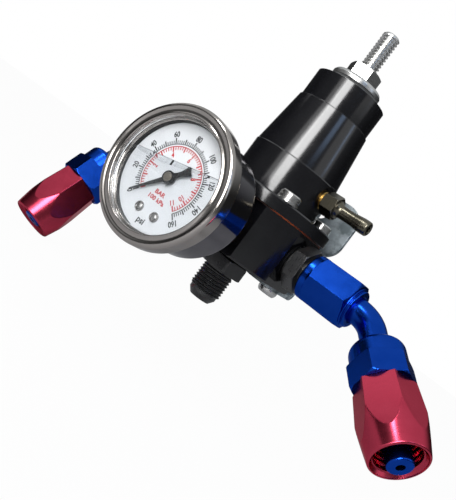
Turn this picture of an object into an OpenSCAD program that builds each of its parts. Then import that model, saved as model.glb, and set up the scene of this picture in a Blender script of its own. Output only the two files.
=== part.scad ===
// Adjustable fuel pressure regulator with a liquid-filled gauge and two swivel hose ends.
// Working axes: the regulator stands on Z, the fuel ports lie on X and the gauge faces -Y.
// Working origin: where the regulator axis crosses the fuel port axis.
// The finished part is shifted so that its origin is the middle of the bracket's bolt holes.

/* [Base body] */
// Radius of the round lower body
body_r = 28; // [27:0.5:30]
// Height of the top face above the port axis
body_top = 11.2; // [11:0.1:12.5]
// Depth of the bottom face below the port axis
body_bottom = 12.5; // [12:0.5:14]
// Distance of the milled gauge face from the axis
front_flat = 24.3; // [23:0.1:25]
// Distance of the milled port faces from the axis
side_flat = 25.5; // [24.5:0.1:26]
// Radius of the fuel chamber under the diaphragm
chamber_r = 14; // [13:0.5:15]

/* [Bonnet] */
// Radius of the bonnet's bolting flange
flange_r = 29; // [28.5:0.1:30]
// Thickness of the bolting flange
flange_h = 5.1; // [4.5:0.1:6]
// Radius of the bonnet's lower barrel
barrel_r = 20.1; // [19.5:0.1:20.2]
// Height of the top of the lower barrel
barrel_top = 32.6; // [32:0.2:36]
// Radius at the top of the long taper
taper_r = 16.7; // [16.5:0.1:17.5]
// Height of the top of the long taper
taper_top = 57.2; // [55:0.2:60]
// Radius of the bonnet's upper barrel
crown_r = 16.1; // [15.8:0.1:16.4]
// Height of the top of the upper barrel
crown_top = 69.4; // [68:0.2:71]
// Radius of the bare rim round the adjuster
rim_r = 10.6; // [10:0.1:11]
// Height of the rim's top face
rim_top = 74.5; // [74:0.1:76]
// Radius of the spring chamber
spring_bore_r = 13.5; // [13:0.1:14]

/* [Flange fasteners] */
// Bolt circle radius of the flange screws
bolt_circle_r = 24.6; // [24.6:0.1:24.8]
// Clock angle of the first flange screw
bolt_turn = 42; // [40:1:46]
// Head radius of a flange screw
cap_head_r = 4.15; // [4:0.05:4.25]
// Head height of a flange screw
cap_head_h = 3.2; // [3:0.1:4]
// Radius of a flange washer
washer_r = 4.4; // [4.3:0.05:4.4]
// Thickness of a washer
washer_h = 0.8; // [0.7:0.1:1]

/* [Adjuster] */
// Thread radius of the adjusting screw
adjuster_r = 3.9; // [3.8:0.05:3.95]
// Height of the adjusting screw's top
adjuster_top = 97.8; // [95:0.1:102]
// Width across flats of the jam nut
jam_nut_af = 13; // [12:0.5:14]
// Thickness of the jam nut
jam_nut_h = 6; // [5:0.5:6.5]
// Wire radius of the regulator spring
spring_wire_r = 1.4; // [1.2:0.1:1.5]
// Mean coil radius of the regulator spring
spring_coil_r = 9.2; // [9:0.1:9.5]
// Number of spring turns
spring_turns = 7; // [6:1:8]

/* [Bracket] */
// Thickness of the bracket's sheet
sheet_t = 2; // [1.5:0.1:2]
// Distance of the upright's front face from the axis
upright_y = 29.3; // [29.3:0.1:31]
// Half width of the bracket's upright plate
plate_half_w = 25.4; // [25:0.1:29]
// Height of the upright plate's lower edge
plate_bottom = 9.5; // [8:0.5:11]
// Height of the upright plate's upper edge
plate_top = 35; // [33:0.5:38]
// Corner radius of the upright plate
plate_corner_r = 8; // [6:0.5:10]
// Half width of the neck and foot
neck_half_w = 20.5; // [20:0.5:22]
// Radius of a wall bolt hole
wall_hole_r = 3.3; // [2.8:0.1:3.5]
// Distance between the wall bolt holes
wall_hole_gap = 15; // [14:0.5:16]
// Height of the wall bolt holes
wall_hole_z = 26; // [24:0.5:28]

/* [Fuel fittings] */
// Radius of the fitting thread
thread_r = 7.1; // [7:0.05:7.14]
// Width across flats of the fitting hexagons
fitting_af = 17.5; // [17:0.5:18]
// Distance of the side hexagons from the axis
hex_start = 27; // [26.8:0.1:27.5]
// Thickness of the side hexagons
hex_h = 5.5; // [5:0.5:6]
// Start of the swivel nuts
nut_start = 34; // [33.5:0.1:34.5]
// End of the swivel nuts
nut_end = 57; // [56.5:0.1:57]
// Depth of the return fitting's tip
return_tip = 34.6; // [34:0.1:36]

/* [Hose ends] */
// Distance of the right elbow's corner from the axis
right_corner = 63.3; // [62:0.1:66]
// Bend of the right elbow
right_bend = 45; // [30:5:60]
// Clocking of the right elbow about the port axis
right_clock = 42.1; // [30:0.1:60]
// Distance of the left elbow's corner from the axis
left_corner = 76.3; // [75:0.1:80]
// Bend of the left elbow
left_bend = 90; // [60:5:90]
// Clocking of the left elbow about the port axis
left_clock = 63.5; // [50:0.1:80]
// Outer radius of the elbow tubes
tube_r = 5.2; // [5:0.1:5.5]
// Centre-line radius of the elbow bends
bend_r = 15; // [13:0.5:15]
// Distance from the corner to the swivel's shoulder
shoulder_at = 15.2; // [15.1:0.1:16]
// Distance from the corner to the socket
socket_at = 32.4; // [32:0.1:33]
// Length of the socket
socket_len = 27; // [26:0.5:28]
// Width across flats of the swivel's hexagon
swivel_af = 20; // [19.5:0.1:20.5]
// Distance of the socket's flats from its axis at the joint
socket_flat = 9.25; // [9.1:0.05:9.4]
// Outward slope of the socket's flats
socket_flat_tilt = 3.6; // [3:0.1:4]
// Radius of the socket's mouth
socket_mouth_r = 9.7; // [9.5:0.05:9.9]
// Radius of the hose nipple
nipple_r = 4.25; // [4:0.05:4.5]

/* [Gauge] */
// Height of the gauge axis
gauge_z = -1.6; // [-3:0.1:0]
// Distance of the case's back from the regulator axis
case_back = 40.8; // [40:0.1:42]
// Radius of the gauge case
case_r = 22.2; // [22:0.1:22.5]
// Radius of the bezel
bezel_r = 25.4; // [25:0.1:26]
// Distance of the bezel's front from the regulator axis
bezel_front = 68; // [67.5:0.1:69]
// Radius of the bezel's window
window_r = 20.8; // [20.6:0.1:21]
// Radius of the dial
dial_r = 20.4; // [20:0.1:20.4]
// Distance of the dial's face from the regulator axis
dial_at = 62; // [62:0.1:62.3]
// Length of the pointer from its arbor
pointer_len = 15.5; // [14:0.5:16]
// Clock angle of the pointer at zero
zero_angle = -135; // [-140:1:-130]
// Clock angle of the fill plug
plug_angle = -62; // [-70:1:-50]

/* [Vacuum nipple] */
// Height of the vacuum nipple
vacuum_z = 27.2; // [26.5:0.1:28]
// Reach of the nipple's tip from the axis
vacuum_tip = 42; // [40:0.5:44]
// Width across flats of the nipple's hexagon
vacuum_af = 9; // [8.5:0.5:10]
// Radius of the nipple's barrel
vacuum_r = 2.6; // [2.4:0.1:2.8]

/* [Hidden] */
$fn = 64;
eps = 0.01;
// Angle between the points of a rounded edge
arc_step = 7.5;
// Gap between pieces that are fitted together
fit_gap = 0.05;
membrane_h = 0.5;
bonnet_base = body_top + membrane_h;
flange_top = bonnet_base + flange_h;
screw_r = 2.1;
tapped_r = screw_r + fit_gap;
port_r = thread_r + fit_gap;
neck_r = 6.4;
seal_gap = hex_start - side_flat;
flare_angle = 37;
flare_tip_r = 4.5;
flare_root_r = 6.2;
flare_len = (flare_root_r - flare_tip_r) / tan(flare_angle);
adapter_tip = 46.6;
passage_r = 3.6;
return_hex_at = body_bottom + seal_gap;
return_hex_h = 6;
foot_top = -body_bottom;
foot_screw_x = 15.5;
foot_screw_y = 16;
wall_y = upright_y + sheet_t;
window_lip = 0.6;
case_wall = 0.8;
dial_t = 0.7;
chamber_floor = -1.5;
seat_top = 7.5;
plate_z = 9.6;
spring_foot = bonnet_base + 2;
spring_head = 58;
seat_cap_h = 3;
thread_gap = 0.05;
sector_pivot_y = -8;
pinion_r = 1.25;
sector_r = 6.5;
tail_len = 5;
movement_back = 51.4;
movement_front = 57.4;
plate_t = 0.9;
sector_at = 54.4;
tube_plane = 47;

black = [0.07, 0.07, 0.08];
blue = [0.04, 0.2, 0.62];
red = [0.58, 0.1, 0.18];
steel = [0.72, 0.72, 0.72];
zinc = [0.66, 0.7, 0.73];
brass = [0.75, 0.62, 0.3];
rubber = [0.05, 0.05, 0.05];

// Shifts the working frame so that the wall bolt holes' centre is the origin
module placed() {
  translate([0, -wall_y, -wall_hole_z]) children();
}

// Turns a shape that stands on +Z so that it lies along +X
module along_x() {
  rotate([0, 90, 0]) children();
}

// Turns a shape that stands on +Z so that it points out of the gauge's face
module gauge_frame() {
  translate([0, 0, gauge_z]) rotate([90, 0, 0]) children();
}

// A turned ring between two heights
module ring(outer, inner, low, high) {
  difference() {
    translate([0, 0, low]) cylinder(r = outer, h = high - low);
    translate([0, 0, low - 1]) cylinder(r = inner, h = high - low + 2);
  }
}

// A hexagon bar with both ends chamfered on the corners
module hex_bar(af, h, chamfer = 0.8) {
  corner = af / 2 / cos(30);
  edge = corner - chamfer;
  rise = chamfer * tan(30);
  intersection() {
    cylinder(r = corner, h = h, $fn = 6);
    rotate_extrude() polygon([
      [0, 0], [edge, 0], [corner + eps, rise], [corner + eps, h - rise], [edge, h], [0, h]
    ]);
  }
}

// Places a child on each of the four flange bolts
module at_flange_bolts() {
  for (a = [0 : 90 : 270]) rotate([0, 0, a + bolt_turn]) translate([bolt_circle_r, 0, 0]) children();
}

// Places a child on both of the bracket's foot screws
module at_foot_screws() {
  for (x = [-1, 1]) translate([x * foot_screw_x, foot_screw_y, 0]) children();
}

// A port for a straight thread with a seal, drilled from +Z down to a depth
module fuel_port(depth) {
  chamfer = 1;
  translate([0, 0, -depth]) cylinder(r = port_r, h = depth + 1);
  translate([0, 0, -chamfer]) cylinder(r1 = port_r, r2 = port_r + chamfer, h = chamfer + eps);
}

module base_body() placed() color(black) {
  edge = 0.8;
  big = 2 * body_r;
  gauge_port_r = 4.9;
  difference() {
    rotate_extrude() polygon([
      [0, -body_bottom], [body_r - edge, -body_bottom], [body_r, edge - body_bottom],
      [body_r, body_top], [0, body_top]
    ]);
    translate([-big, -front_flat - big, -big]) cube([2 * big, big, 2 * big]);
    for (s = [0, 1]) mirror([s, 0, 0]) translate([side_flat, -big, -big]) cube([big, 2 * big, 2 * big]);
    translate([0, 0, chamber_floor]) cylinder(r = chamber_r, h = big);
    for (s = [0, 1]) mirror([s, 0, 0]) translate([side_flat, 0, 0]) along_x() fuel_port(side_flat - 12);
    translate([0, 0, -body_bottom]) mirror([0, 0, 1]) fuel_port(9);
    translate([0, 0, -body_bottom]) cylinder(r = 4, h = big);
    gauge_frame() translate([0, 0, 15]) cylinder(r = gauge_port_r, h = big);
    gauge_frame() translate([0, 0, 8]) cylinder(r = 2.5, h = big);
    at_flange_bolts() translate([0, 0, body_top - 13]) cylinder(r = tapped_r, h = big);
    at_foot_screws() translate([0, 0, -body_bottom - 1]) cylinder(r = tapped_r, h = 10);
  }
}

module valve_seat() placed() color(brass) {
  difference() {
    union() {
      translate([0, 0, 9 - body_bottom]) cylinder(r = 4 - 0.02, h = seat_top + body_bottom - 9);
      translate([0, 0, chamber_floor]) cylinder(r = 6, h = 1.5);
    }
    translate([0, 0, -body_bottom]) cylinder(r = 2.25, h = 40);
  }
}

module valve_disc() placed() color(rubber) {
  translate([0, 0, seat_top + fit_gap]) cylinder(r = 5, h = plate_z - seat_top - fit_gap);
}

module lower_plate() placed() color(steel) {
  stud_r = 2.5;
  translate([0, 0, plate_z]) cylinder(r = 11, h = body_top - plate_z);
  translate([0, 0, plate_z]) cylinder(r = stud_r, h = 8);
}

module diaphragm() placed() color([0.8, 0.25, 0.1]) {
  set_back = 0.4;
  difference() {
    translate([0, 0, body_top]) cylinder(r = body_r - set_back, h = membrane_h);
    translate([0, 0, body_top - 1]) cylinder(r = 2.55, h = 4);
    at_flange_bolts() translate([0, 0, body_top - 1]) cylinder(r = 2.6, h = 4);
  }
}

module upper_plate() placed() color(steel) {
  ring(12, 2.55, bonnet_base, spring_foot);
  ring(7.4, 6, spring_foot - eps, spring_foot + 1.5);
}

module plate_nut() placed() color(steel) {
  difference() {
    translate([0, 0, spring_foot]) hex_bar(8, 3, 0.5);
    translate([0, 0, spring_foot - 1]) cylinder(r = 2.55, h = 6);
  }
}

// Height of a closed-end coil after n turns, from low to high
function coil_height(n, turns, low, high, end_pitch) =
  n < 1 ? low + n * end_pitch
  : n > turns - 1 ? high - (turns - n) * end_pitch
  : low + end_pitch + (n - 1) * (high - low - 2 * end_pitch) / (turns - 2);

// A coil spring with closed ends, swept as one tube along its helix
module regulator_spring() placed() color(steel) {
  sides = 8;
  per_turn = 20;
  count = spring_turns * per_turn;
  low = spring_foot + spring_wire_r + fit_gap;
  high = spring_head - spring_wire_r - fit_gap;
  end_pitch = 2 * spring_wire_r + 0.1;
  points = [
    for (i = [0 : count], k = [0 : sides - 1])
      let (a = 360 * i / per_turn, b = 360 * k / sides, r = spring_coil_r + spring_wire_r * cos(b))
      [
        r * cos(a),
        r * sin(a),
        coil_height(i / per_turn, spring_turns, low, high, end_pitch) + spring_wire_r * sin(b)
      ]
  ];
  wall = [
    for (i = [0 : count - 1], k = [0 : sides - 1])
      let (n = (k + 1) % sides)
      [i * sides + k, i * sides + n, (i + 1) * sides + n, (i + 1) * sides + k]
  ];
  start_cap = [[for (k = [sides - 1 : -1 : 0]) k]];
  end_cap = [[for (k = [0 : sides - 1]) count * sides + k]];
  polyhedron(points, concat(wall, start_cap, end_cap), convexity = 10);
}

module spring_seat() placed() color(steel) {
  difference() {
    union() {
      translate([0, 0, spring_head]) cylinder(r = 12, h = seat_cap_h);
      translate([0, 0, spring_head - 2]) cylinder(r = 7.2, h = 2 + eps);
    }
    translate([0, 0, spring_head + seat_cap_h - 1.5]) cylinder(r = adjuster_r + 0.1, h = 3);
  }
}

module adjusting_screw() placed() color(steel) {
  low = spring_head + seat_cap_h - 1.5 + fit_gap;
  edge = 0.8;
  key_depth = 4.5;
  difference() {
    rotate_extrude() polygon([
      [0, low], [adjuster_r - edge, low], [adjuster_r, low + edge],
      [adjuster_r, adjuster_top - edge], [adjuster_r - edge, adjuster_top], [0, adjuster_top]
    ]);
    translate([0, 0, adjuster_top - key_depth]) cylinder(r = 2 / cos(30), h = 6, $fn = 6);
  }
}

module jam_nut() placed() color(steel) {
  difference() {
    translate([0, 0, rim_top + fit_gap]) rotate([0, 0, 15]) hex_bar(jam_nut_af, jam_nut_h, 1);
    translate([0, 0, rim_top - 1]) cylinder(r = adjuster_r + thread_gap, h = jam_nut_h + 4);
  }
}

module bonnet() placed() color(black) {
  edge = 0.6;
  step = 0.3;
  cove_r = rim_top - 0.6 - crown_top;
  roof = 66;
  spot_x = 19.1;
  // The cove is a quarter of an ellipse from the crown up to the rim
  cove = [
    for (a = [0 : arc_step : 90])
      [crown_r - (crown_r - rim_r) * sin(a), crown_top + cove_r * (1 - cos(a))]
  ];
  difference() {
    rotate_extrude() polygon(concat(
      [
        [0, bonnet_base], [flange_r, bonnet_base], [flange_r, flange_top - edge],
        [flange_r - edge, flange_top], [barrel_r, flange_top], [barrel_r, barrel_top],
        [barrel_r - step, barrel_top + step], [taper_r, taper_top], [crown_r, taper_top + step]
      ],
      cove,
      [[rim_r, rim_top], [0, rim_top]]
    ));
    translate([0, 0, bonnet_base - 1]) cylinder(r = spring_bore_r, h = roof - bonnet_base - 2);
    translate([0, 0, roof - 3 - eps]) cylinder(r1 = spring_bore_r, r2 = 6, h = 3);
    translate([0, 0, roof - 4]) cylinder(r = adjuster_r + thread_gap, h = 20);
    at_flange_bolts() translate([0, 0, bonnet_base - 1]) cylinder(r = 2.6, h = flange_h + 2);
    translate([0, 0, vacuum_z]) along_x() cylinder(r = 3.45, h = 40);
    translate([spot_x, 0, vacuum_z]) along_x() cylinder(r = 6.2, h = 10);
  }
}

module flange_screws() placed() color(steel) {
  edge = 0.4;
  key_depth = 1.8;
  at_flange_bolts() translate([0, 0, flange_top + washer_h]) {
    difference() {
      union() {
        rotate_extrude() polygon([
          [0, 0], [cap_head_r, 0], [cap_head_r, cap_head_h - edge],
          [cap_head_r - edge, cap_head_h], [0, cap_head_h]
        ]);
        translate([0, 0, -17]) cylinder(r = screw_r, h = 17 + eps);
      }
      translate([0, 0, cap_head_h - key_depth]) cylinder(r = 2 / cos(30), h = 5, $fn = 6);
    }
  }
}

module flange_washers() placed() color(steel) {
  at_flange_bolts() ring(washer_r, 2.65, flange_top, flange_top + washer_h);
}

module vacuum_nipple() placed() color(brass) {
  hex_at = 20.6;
  hex_len = 6;
  thread_start = 14.2;
  barb = 0.45;
  translate([0, 0, vacuum_z]) along_x() difference() {
    union() {
      translate([0, 0, thread_start]) cylinder(r = 3.4, h = hex_at - thread_start + eps);
      translate([0, 0, hex_at]) hex_bar(vacuum_af, hex_len, 0.6);
      rotate_extrude() polygon([
        [0, hex_at + 1], [3.6, hex_at + hex_len - eps], [vacuum_r, hex_at + hex_len + 1.6],
        [vacuum_r, vacuum_tip - 5.6], [vacuum_r + barb, vacuum_tip - 5],
        [vacuum_r + barb, vacuum_tip - 1.6], [vacuum_r - 0.6, vacuum_tip], [0, vacuum_tip]
      ]);
    }
    cylinder(r = 1.25, h = 60);
  }
}

// The bracket's upright, drawn in the plane of X and Z
module upright_outline() {
  c = plate_corner_r;
  for (x = [-1, 1], z = [plate_bottom + c, plate_top - c])
    translate([x * (plate_half_w - c), z]) circle(c);
  translate([c - plate_half_w, plate_bottom]) square([2 * (plate_half_w - c), plate_top - plate_bottom]);
  translate([-plate_half_w, plate_bottom + c])
    square([2 * plate_half_w, plate_top - plate_bottom - 2 * c]);
  translate([-neck_half_w, foot_top + 2]) square([2 * neck_half_w, plate_bottom + c - foot_top - 2]);
}

// The bent strip of the neck and foot, drawn in the plane of Y and Z
module foot_profile() {
  inner = 1.5;
  outer = inner + sheet_t;
  bend_y = wall_y - outer;
  bend_z = foot_top - sheet_t + outer;
  foot_front = 8;
  translate([foot_front, foot_top - sheet_t]) square([bend_y - foot_front, sheet_t]);
  translate([upright_y, bend_z]) square([sheet_t, 6]);
  intersection() {
    translate([bend_y, bend_z]) difference() {
      circle(outer);
      circle(inner);
    }
    translate([bend_y, bend_z - outer]) square([outer, outer]);
  }
}

module bracket() placed() color(zinc) {
  foot_corner = 5;
  difference() {
    union() {
      translate([0, wall_y, 0]) rotate([90, 0, 0]) linear_extrude(sheet_t) upright_outline();
      translate([-neck_half_w, 0, 0]) rotate([90, 0, 90]) linear_extrude(2 * neck_half_w) foot_profile();
    }
    for (x = [-1, 1]) translate([x * wall_hole_gap / 2, upright_y - 1, wall_hole_z])
      rotate([-90, 0, 0]) cylinder(r = wall_hole_r, h = sheet_t + 2);
    at_foot_screws() translate([0, 0, foot_top - sheet_t - 1]) cylinder(r = 2.6, h = sheet_t + 2);
    translate([0, 0, foot_top - sheet_t - 1]) cylinder(r = 11.2, h = sheet_t + 2);
    for (s = [0, 1]) mirror([s, 0, 0])
      translate([neck_half_w - foot_corner, 8, foot_top - sheet_t - 1]) difference() {
        translate([0, -eps, 0]) cube([foot_corner + eps, foot_corner, sheet_t + 2]);
        translate([0, foot_corner, -1]) cylinder(r = foot_corner, h = sheet_t + 4);
      }
  }
}

module bracket_screws() placed() color(steel) {
  head_r = 4.5;
  head_h = 2.8;
  at_foot_screws() translate([0, 0, foot_top - sheet_t]) difference() {
    union() {
      rotate_extrude() polygon(concat(
        [[0, 0], [head_r, 0], [head_r, -0.6]],
        [for (a = [arc_step : arc_step : 60]) [head_r - 2.2 * (1 - cos(a)), -0.6 - (head_h - 0.6) * sin(a) / sin(60)]],
        [[0, -head_h]]
      ));
      translate([0, 0, -eps]) cylinder(r = screw_r, h = 9);
    }
    translate([0, 0, -head_h - 1]) cylinder(r = 1.5 / cos(30), h = 2.6, $fn = 6);
  }
}

// A fitting that screws into a port at Z = 0 and ends in a flared nose
// base is where the hexagon starts, tip is where the nose ends, deep is the thread in the port
module flare_adapter(base, hex_len, tip, deep) {
  thread_end = tip - flare_len - 1.4;
  difference() {
    union() {
      translate([0, 0, base - seal_gap - deep]) cylinder(r = thread_r, h = deep - 0.5);
      translate([0, 0, base - seal_gap - 1]) cylinder(r = neck_r, h = seal_gap + 1 + eps);
      translate([0, 0, base]) hex_bar(fitting_af, hex_len);
      rotate_extrude() polygon([
        [0, base + 1], [neck_r, base + hex_len - eps], [neck_r, base + hex_len + 0.6],
        [thread_r, base + hex_len + 1.2], [thread_r, thread_end - 0.6], [flare_root_r, thread_end],
        [flare_root_r, tip - flare_len], [flare_tip_r, tip], [0, tip]
      ]);
    }
    translate([0, 0, base - 40]) cylinder(r = passage_r, h = 100);
  }
}

module right_adapter() placed() color(black) {
  along_x() flare_adapter(hex_start, hex_h, adapter_tip, 9);
}

module left_adapter() placed() color(black) {
  mirror([1, 0, 0]) along_x() flare_adapter(hex_start, hex_h, adapter_tip, 9);
}

module return_adapter() placed() color(black) {
  mirror([0, 0, 1]) rotate([0, 0, 10]) flare_adapter(return_hex_at, return_hex_h, return_tip, 7);
}

// A rubber ring that seals a fitting's neck in its port
module port_seal(at) {
  minor = seal_gap / 2 - 0.02;
  translate([0, 0, at + seal_gap / 2]) rotate_extrude() translate([neck_r + minor + 0.05, 0]) circle(minor);
}

module right_adapter_seal() placed() color(rubber) {
  along_x() port_seal(side_flat);
}

module left_adapter_seal() placed() color(rubber) {
  mirror([1, 0, 0]) along_x() port_seal(side_flat);
}

module return_adapter_seal() placed() color(rubber) {
  mirror([0, 0, 1]) port_seal(body_bottom);
}

// The long hexagon nut that draws an elbow's nose onto a flared fitting
module swivel_nut() {
  collar_r = 9.5;
  collar_end = nut_start + 3.2;
  hex_end = nut_end - 1.8;
  shoulder = adapter_tip + 2.2;
  difference() {
    union() {
      rotate_extrude() polygon([
        [0, nut_start], [collar_r - 0.7, nut_start], [collar_r, nut_start + 0.7],
        [collar_r, collar_end + 1], [0, collar_end + 1]
      ]);
      translate([0, 0, collar_end]) hex_bar(fitting_af + 1, hex_end - collar_end, 1.6);
      rotate_extrude() polygon([
        [0, hex_end - 1], [8.2, hex_end - eps], [8.2, hex_end + 0.4], [7.5, hex_end + 0.5],
        [7.5, hex_end + 0.9], [7.9, hex_end + 1.1], [7.9, nut_end - 0.4], [7.5, nut_end], [0, nut_end]
      ]);
    }
    translate([0, 0, nut_start - 1]) cylinder(r = port_r, h = shoulder - nut_start + 1);
    translate([0, 0, nut_start]) cylinder(r = tube_r + 0.15, h = 40);
  }
}

module right_swivel_nut() placed() color(blue) {
  along_x() swivel_nut();
}

module left_swivel_nut() placed() color(blue) {
  mirror([1, 0, 0]) along_x() swivel_nut();
}

// Turns the plane of an elbow's bend about the port axis
module elbow_plane(clock) {
  rotate([180 + clock, 0, 0]) children();
}

// Moves to an elbow's corner and points +Z down the outlet
module outlet_frame(corner, bend) {
  translate([corner, 0, 0]) rotate([0, 90, bend]) children();
}

// A bar of radius r that follows an elbow's centre line from the nose to the tail
// The bent stretch is a hair slimmer, as a drawn tube is, and is let into both straight ends
module elbow_bar(corner, bend, r, from, tail) {
  run = bend_r * tan(bend / 2);
  start = corner - run;
  slim = 0.03;
  let_in = 0.3;
  translate([from, 0, 0]) along_x() cylinder(r = r, h = start - from + let_in);
  translate([start, bend_r, 0]) rotate([0, 0, -90]) rotate_extrude(angle = bend)
    translate([bend_r, 0]) circle(r - slim);
  outlet_frame(corner, bend) translate([0, 0, run - let_in]) cylinder(r = r, h = tail - run + let_in);
}

module elbow(corner, bend) {
  nose_r = 6.9;
  nose_at = adapter_tip - flare_len + 0.05;
  groove_at = shoulder_at + 3.2;
  tail = shoulder_at + 7.4;
  difference() {
    union() {
      translate([nose_at, 0, 0]) along_x() cylinder(r = nose_r, h = adapter_tip + 2.1 - nose_at);
      elbow_bar(corner, bend, tube_r, adapter_tip, tail);
    }
    elbow_bar(corner, bend, passage_r - 0.2, adapter_tip - 6, tail + 1);
    translate([nose_at - eps, 0, 0]) along_x()
      cylinder(r1 = flare_root_r + 0.05, r2 = flare_tip_r + 0.05, h = flare_len);
    outlet_frame(corner, bend) ring(tube_r + 1, tube_r - 0.9, groove_at, groove_at + 1.6);
  }
}

module right_elbow() placed() color(blue) {
  elbow_plane(right_clock) elbow(right_corner, right_bend);
}

module left_elbow() placed() color(blue) {
  mirror([1, 0, 0]) elbow_plane(left_clock) elbow(left_corner, left_bend);
}

// The rubber ring in the groove of an elbow's tail
module swivel_seal() {
  minor = 0.42;
  translate([0, 0, shoulder_at + 4]) rotate_extrude() translate([tube_r - 0.03 - minor, 0]) circle(minor);
}

module right_swivel_seal() placed() color(rubber) {
  elbow_plane(right_clock) outlet_frame(right_corner, right_bend) swivel_seal();
}

module left_swivel_seal() placed() color(rubber) {
  mirror([1, 0, 0]) elbow_plane(left_clock) outlet_frame(left_corner, left_bend) swivel_seal();
}

// The swivelling body of a hose end: domed shoulder, hexagon, threaded stub and hose nipple
module hose_body() {
  round_r = 10;
  dome = 2.4;
  hex_at = shoulder_at + 7.6;
  stub_end = socket_at + 7;
  tip = socket_at + socket_len - 0.3;
  corner = [for (a = [0 : arc_step : 90]) [round_r - dome * (1 - sin(a)), shoulder_at + dome * (1 - cos(a))]];
  difference() {
    union() {
      rotate_extrude() polygon(concat(
        [[0, shoulder_at]], corner, [[round_r, hex_at + 1], [0, hex_at + 1]]
      ));
      translate([0, 0, hex_at]) hex_bar(swivel_af, socket_at - hex_at, 0.9);
      translate([0, 0, socket_at - 1]) cylinder(r = 6.9, h = stub_end - socket_at + 1);
      rotate_extrude() polygon([
        [0, stub_end - 1], [nipple_r, stub_end - 1], [nipple_r, tip - 0.8], [nipple_r - 0.6, tip], [0, tip]
      ]);
    }
    translate([0, 0, shoulder_at - 1]) cylinder(r = tube_r + 0.05, h = 9);
    translate([0, 0, shoulder_at]) cylinder(r = 2.8, h = tip - shoulder_at - 4);
    translate([0, 0, shoulder_at]) cylinder(r = 1.5, h = 60);
  }
}

module right_hose_body() placed() color(blue) {
  elbow_plane(right_clock) outlet_frame(right_corner, right_bend) hose_body();
}

module left_hose_body() placed() color(blue) {
  mirror([1, 0, 0]) elbow_plane(left_clock) outlet_frame(left_corner, left_bend) hose_body();
}

// The socket that clamps the hose: a round bulge with flats milled up to it from the joint
module socket() {
  full_r = 11.6;
  bulge_at = 11;
  lip = 0.7;
  low = socket_at + fit_gap;
  high = socket_at + socket_len;
  steps = 10;
  bulge = [
    for (i = [0 : steps])
      let (t = i / steps)
      [full_r - (full_r - socket_mouth_r) * pow(t, 1.25), low + bulge_at + t * (socket_len - bulge_at - lip)]
  ];
  mouth = [
    for (a = [15 : 15 : 90]) [socket_mouth_r - lip * (1 - cos(a)), high - lip * (1 - sin(a))]
  ];
  difference() {
    rotate_extrude() polygon(concat([[0, low], [full_r, low]], bulge, mouth, [[0, high]]));
    for (a = [0 : 60 : 300]) rotate([0, 0, a]) translate([socket_flat, -15, low])
      rotate([0, socket_flat_tilt, 0]) translate([0, 0, -5]) cube([10, 30, 40]);
    translate([0, 0, socket_at - 1]) cylinder(r = 6.95, h = 9);
    translate([0, 0, socket_at + 7.5]) cylinder(r = 8, h = 40);
    translate([0, 0, high - 1.4]) cylinder(r1 = 8, r2 = socket_mouth_r - lip - 0.3, h = 1.4 + eps);
  }
}

module right_socket() placed() color(red) {
  elbow_plane(right_clock) outlet_frame(right_corner, right_bend) socket();
}

module left_socket() placed() color(red) {
  mirror([1, 0, 0]) elbow_plane(left_clock) outlet_frame(left_corner, left_bend) socket();
}

module gauge_stem() placed() color(brass) {
  square_w = 11;
  block_at = case_back + case_wall + 0.2;
  gauge_frame() difference() {
    union() {
      translate([0, 0, 16]) cylinder(r = 4.85, h = 12);
      translate([-square_w / 2, -square_w / 2, 26]) cube([square_w, square_w, 10]);
      translate([0, 0, 35]) cylinder(r = 5, h = case_back - 35 + case_wall + 0.2);
      translate([0, 0, case_back + case_wall]) cylinder(r = 6, h = 2);
      translate([-4, -17.5, block_at]) cube([8, 17, movement_back - plate_t - block_at]);
    }
    translate([0, 0, 10]) cylinder(r = 1.5, h = case_back - 6);
  }
}

module gauge_case() placed() color(steel) {
  round = 3;
  rim = 63;
  corner = [for (a = [0 : arc_step : 90]) [case_r - round + round * sin(a), case_back + round * (1 - cos(a))]];
  inner = case_r - case_wall;
  gauge_frame() difference() {
    rotate_extrude() polygon(concat(
      [[5.1, case_back]], corner,
      [
        [case_r, rim - 1], [24.4, rim - 1], [24.4, rim], [inner, rim],
        [inner, case_back + round], [inner - round + 1, case_back + case_wall],
        [5.1, case_back + case_wall]
      ]
    ));
    rotate([0, 0, 90 - plug_angle]) translate([0, 0, 57]) along_x() cylinder(r = 2.6, h = 40);
  }
}

module gauge_bezel() placed() color(steel) {
  back = 60.9;
  ledge = 63.7;
  edge = 1.3;
  corner = [for (a = [0 : arc_step : 90]) [bezel_r - edge + edge * cos(a), bezel_front - edge + edge * sin(a)]];
  gauge_frame() rotate_extrude() polygon(concat(
    [
      [case_r + 0.1, back], [bezel_r - 0.7, back], [bezel_r, back + 0.7]
    ],
    corner,
    [
      [window_r + window_lip, bezel_front], [window_r, bezel_front - window_lip],
      [window_r, ledge + 1.05], [window_r - 0.6, ledge + 1.05],
      [window_r - 0.6, ledge], [24.5, ledge], [24.5, 61.9], [case_r + 0.1, 61.9]
    ]
  ));
}

module gauge_lens() placed() color([0.9, 0.95, 1, 0.3]) {
  gauge_frame() translate([0, 0, 64.8]) cylinder(r = window_r - fit_gap, h = 1.5);
}

module dial_ring() placed() color(rubber) {
  gauge_frame() ring(window_r - 0.1, 20.1, dial_at, 63.6);
}

module gauge_dial() placed() color("white") {
  gauge_frame() difference() {
    translate([0, 0, dial_at - dial_t]) cylinder(r = dial_r, h = dial_t);
    translate([0, 0, dial_at - 2]) cylinder(r = 1.6, h = 4);
    for (x = [-1, 1]) translate([x * 3.8, -13.4, dial_at - 2]) cylinder(r = 0.85, h = 4);
  }
}

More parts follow.
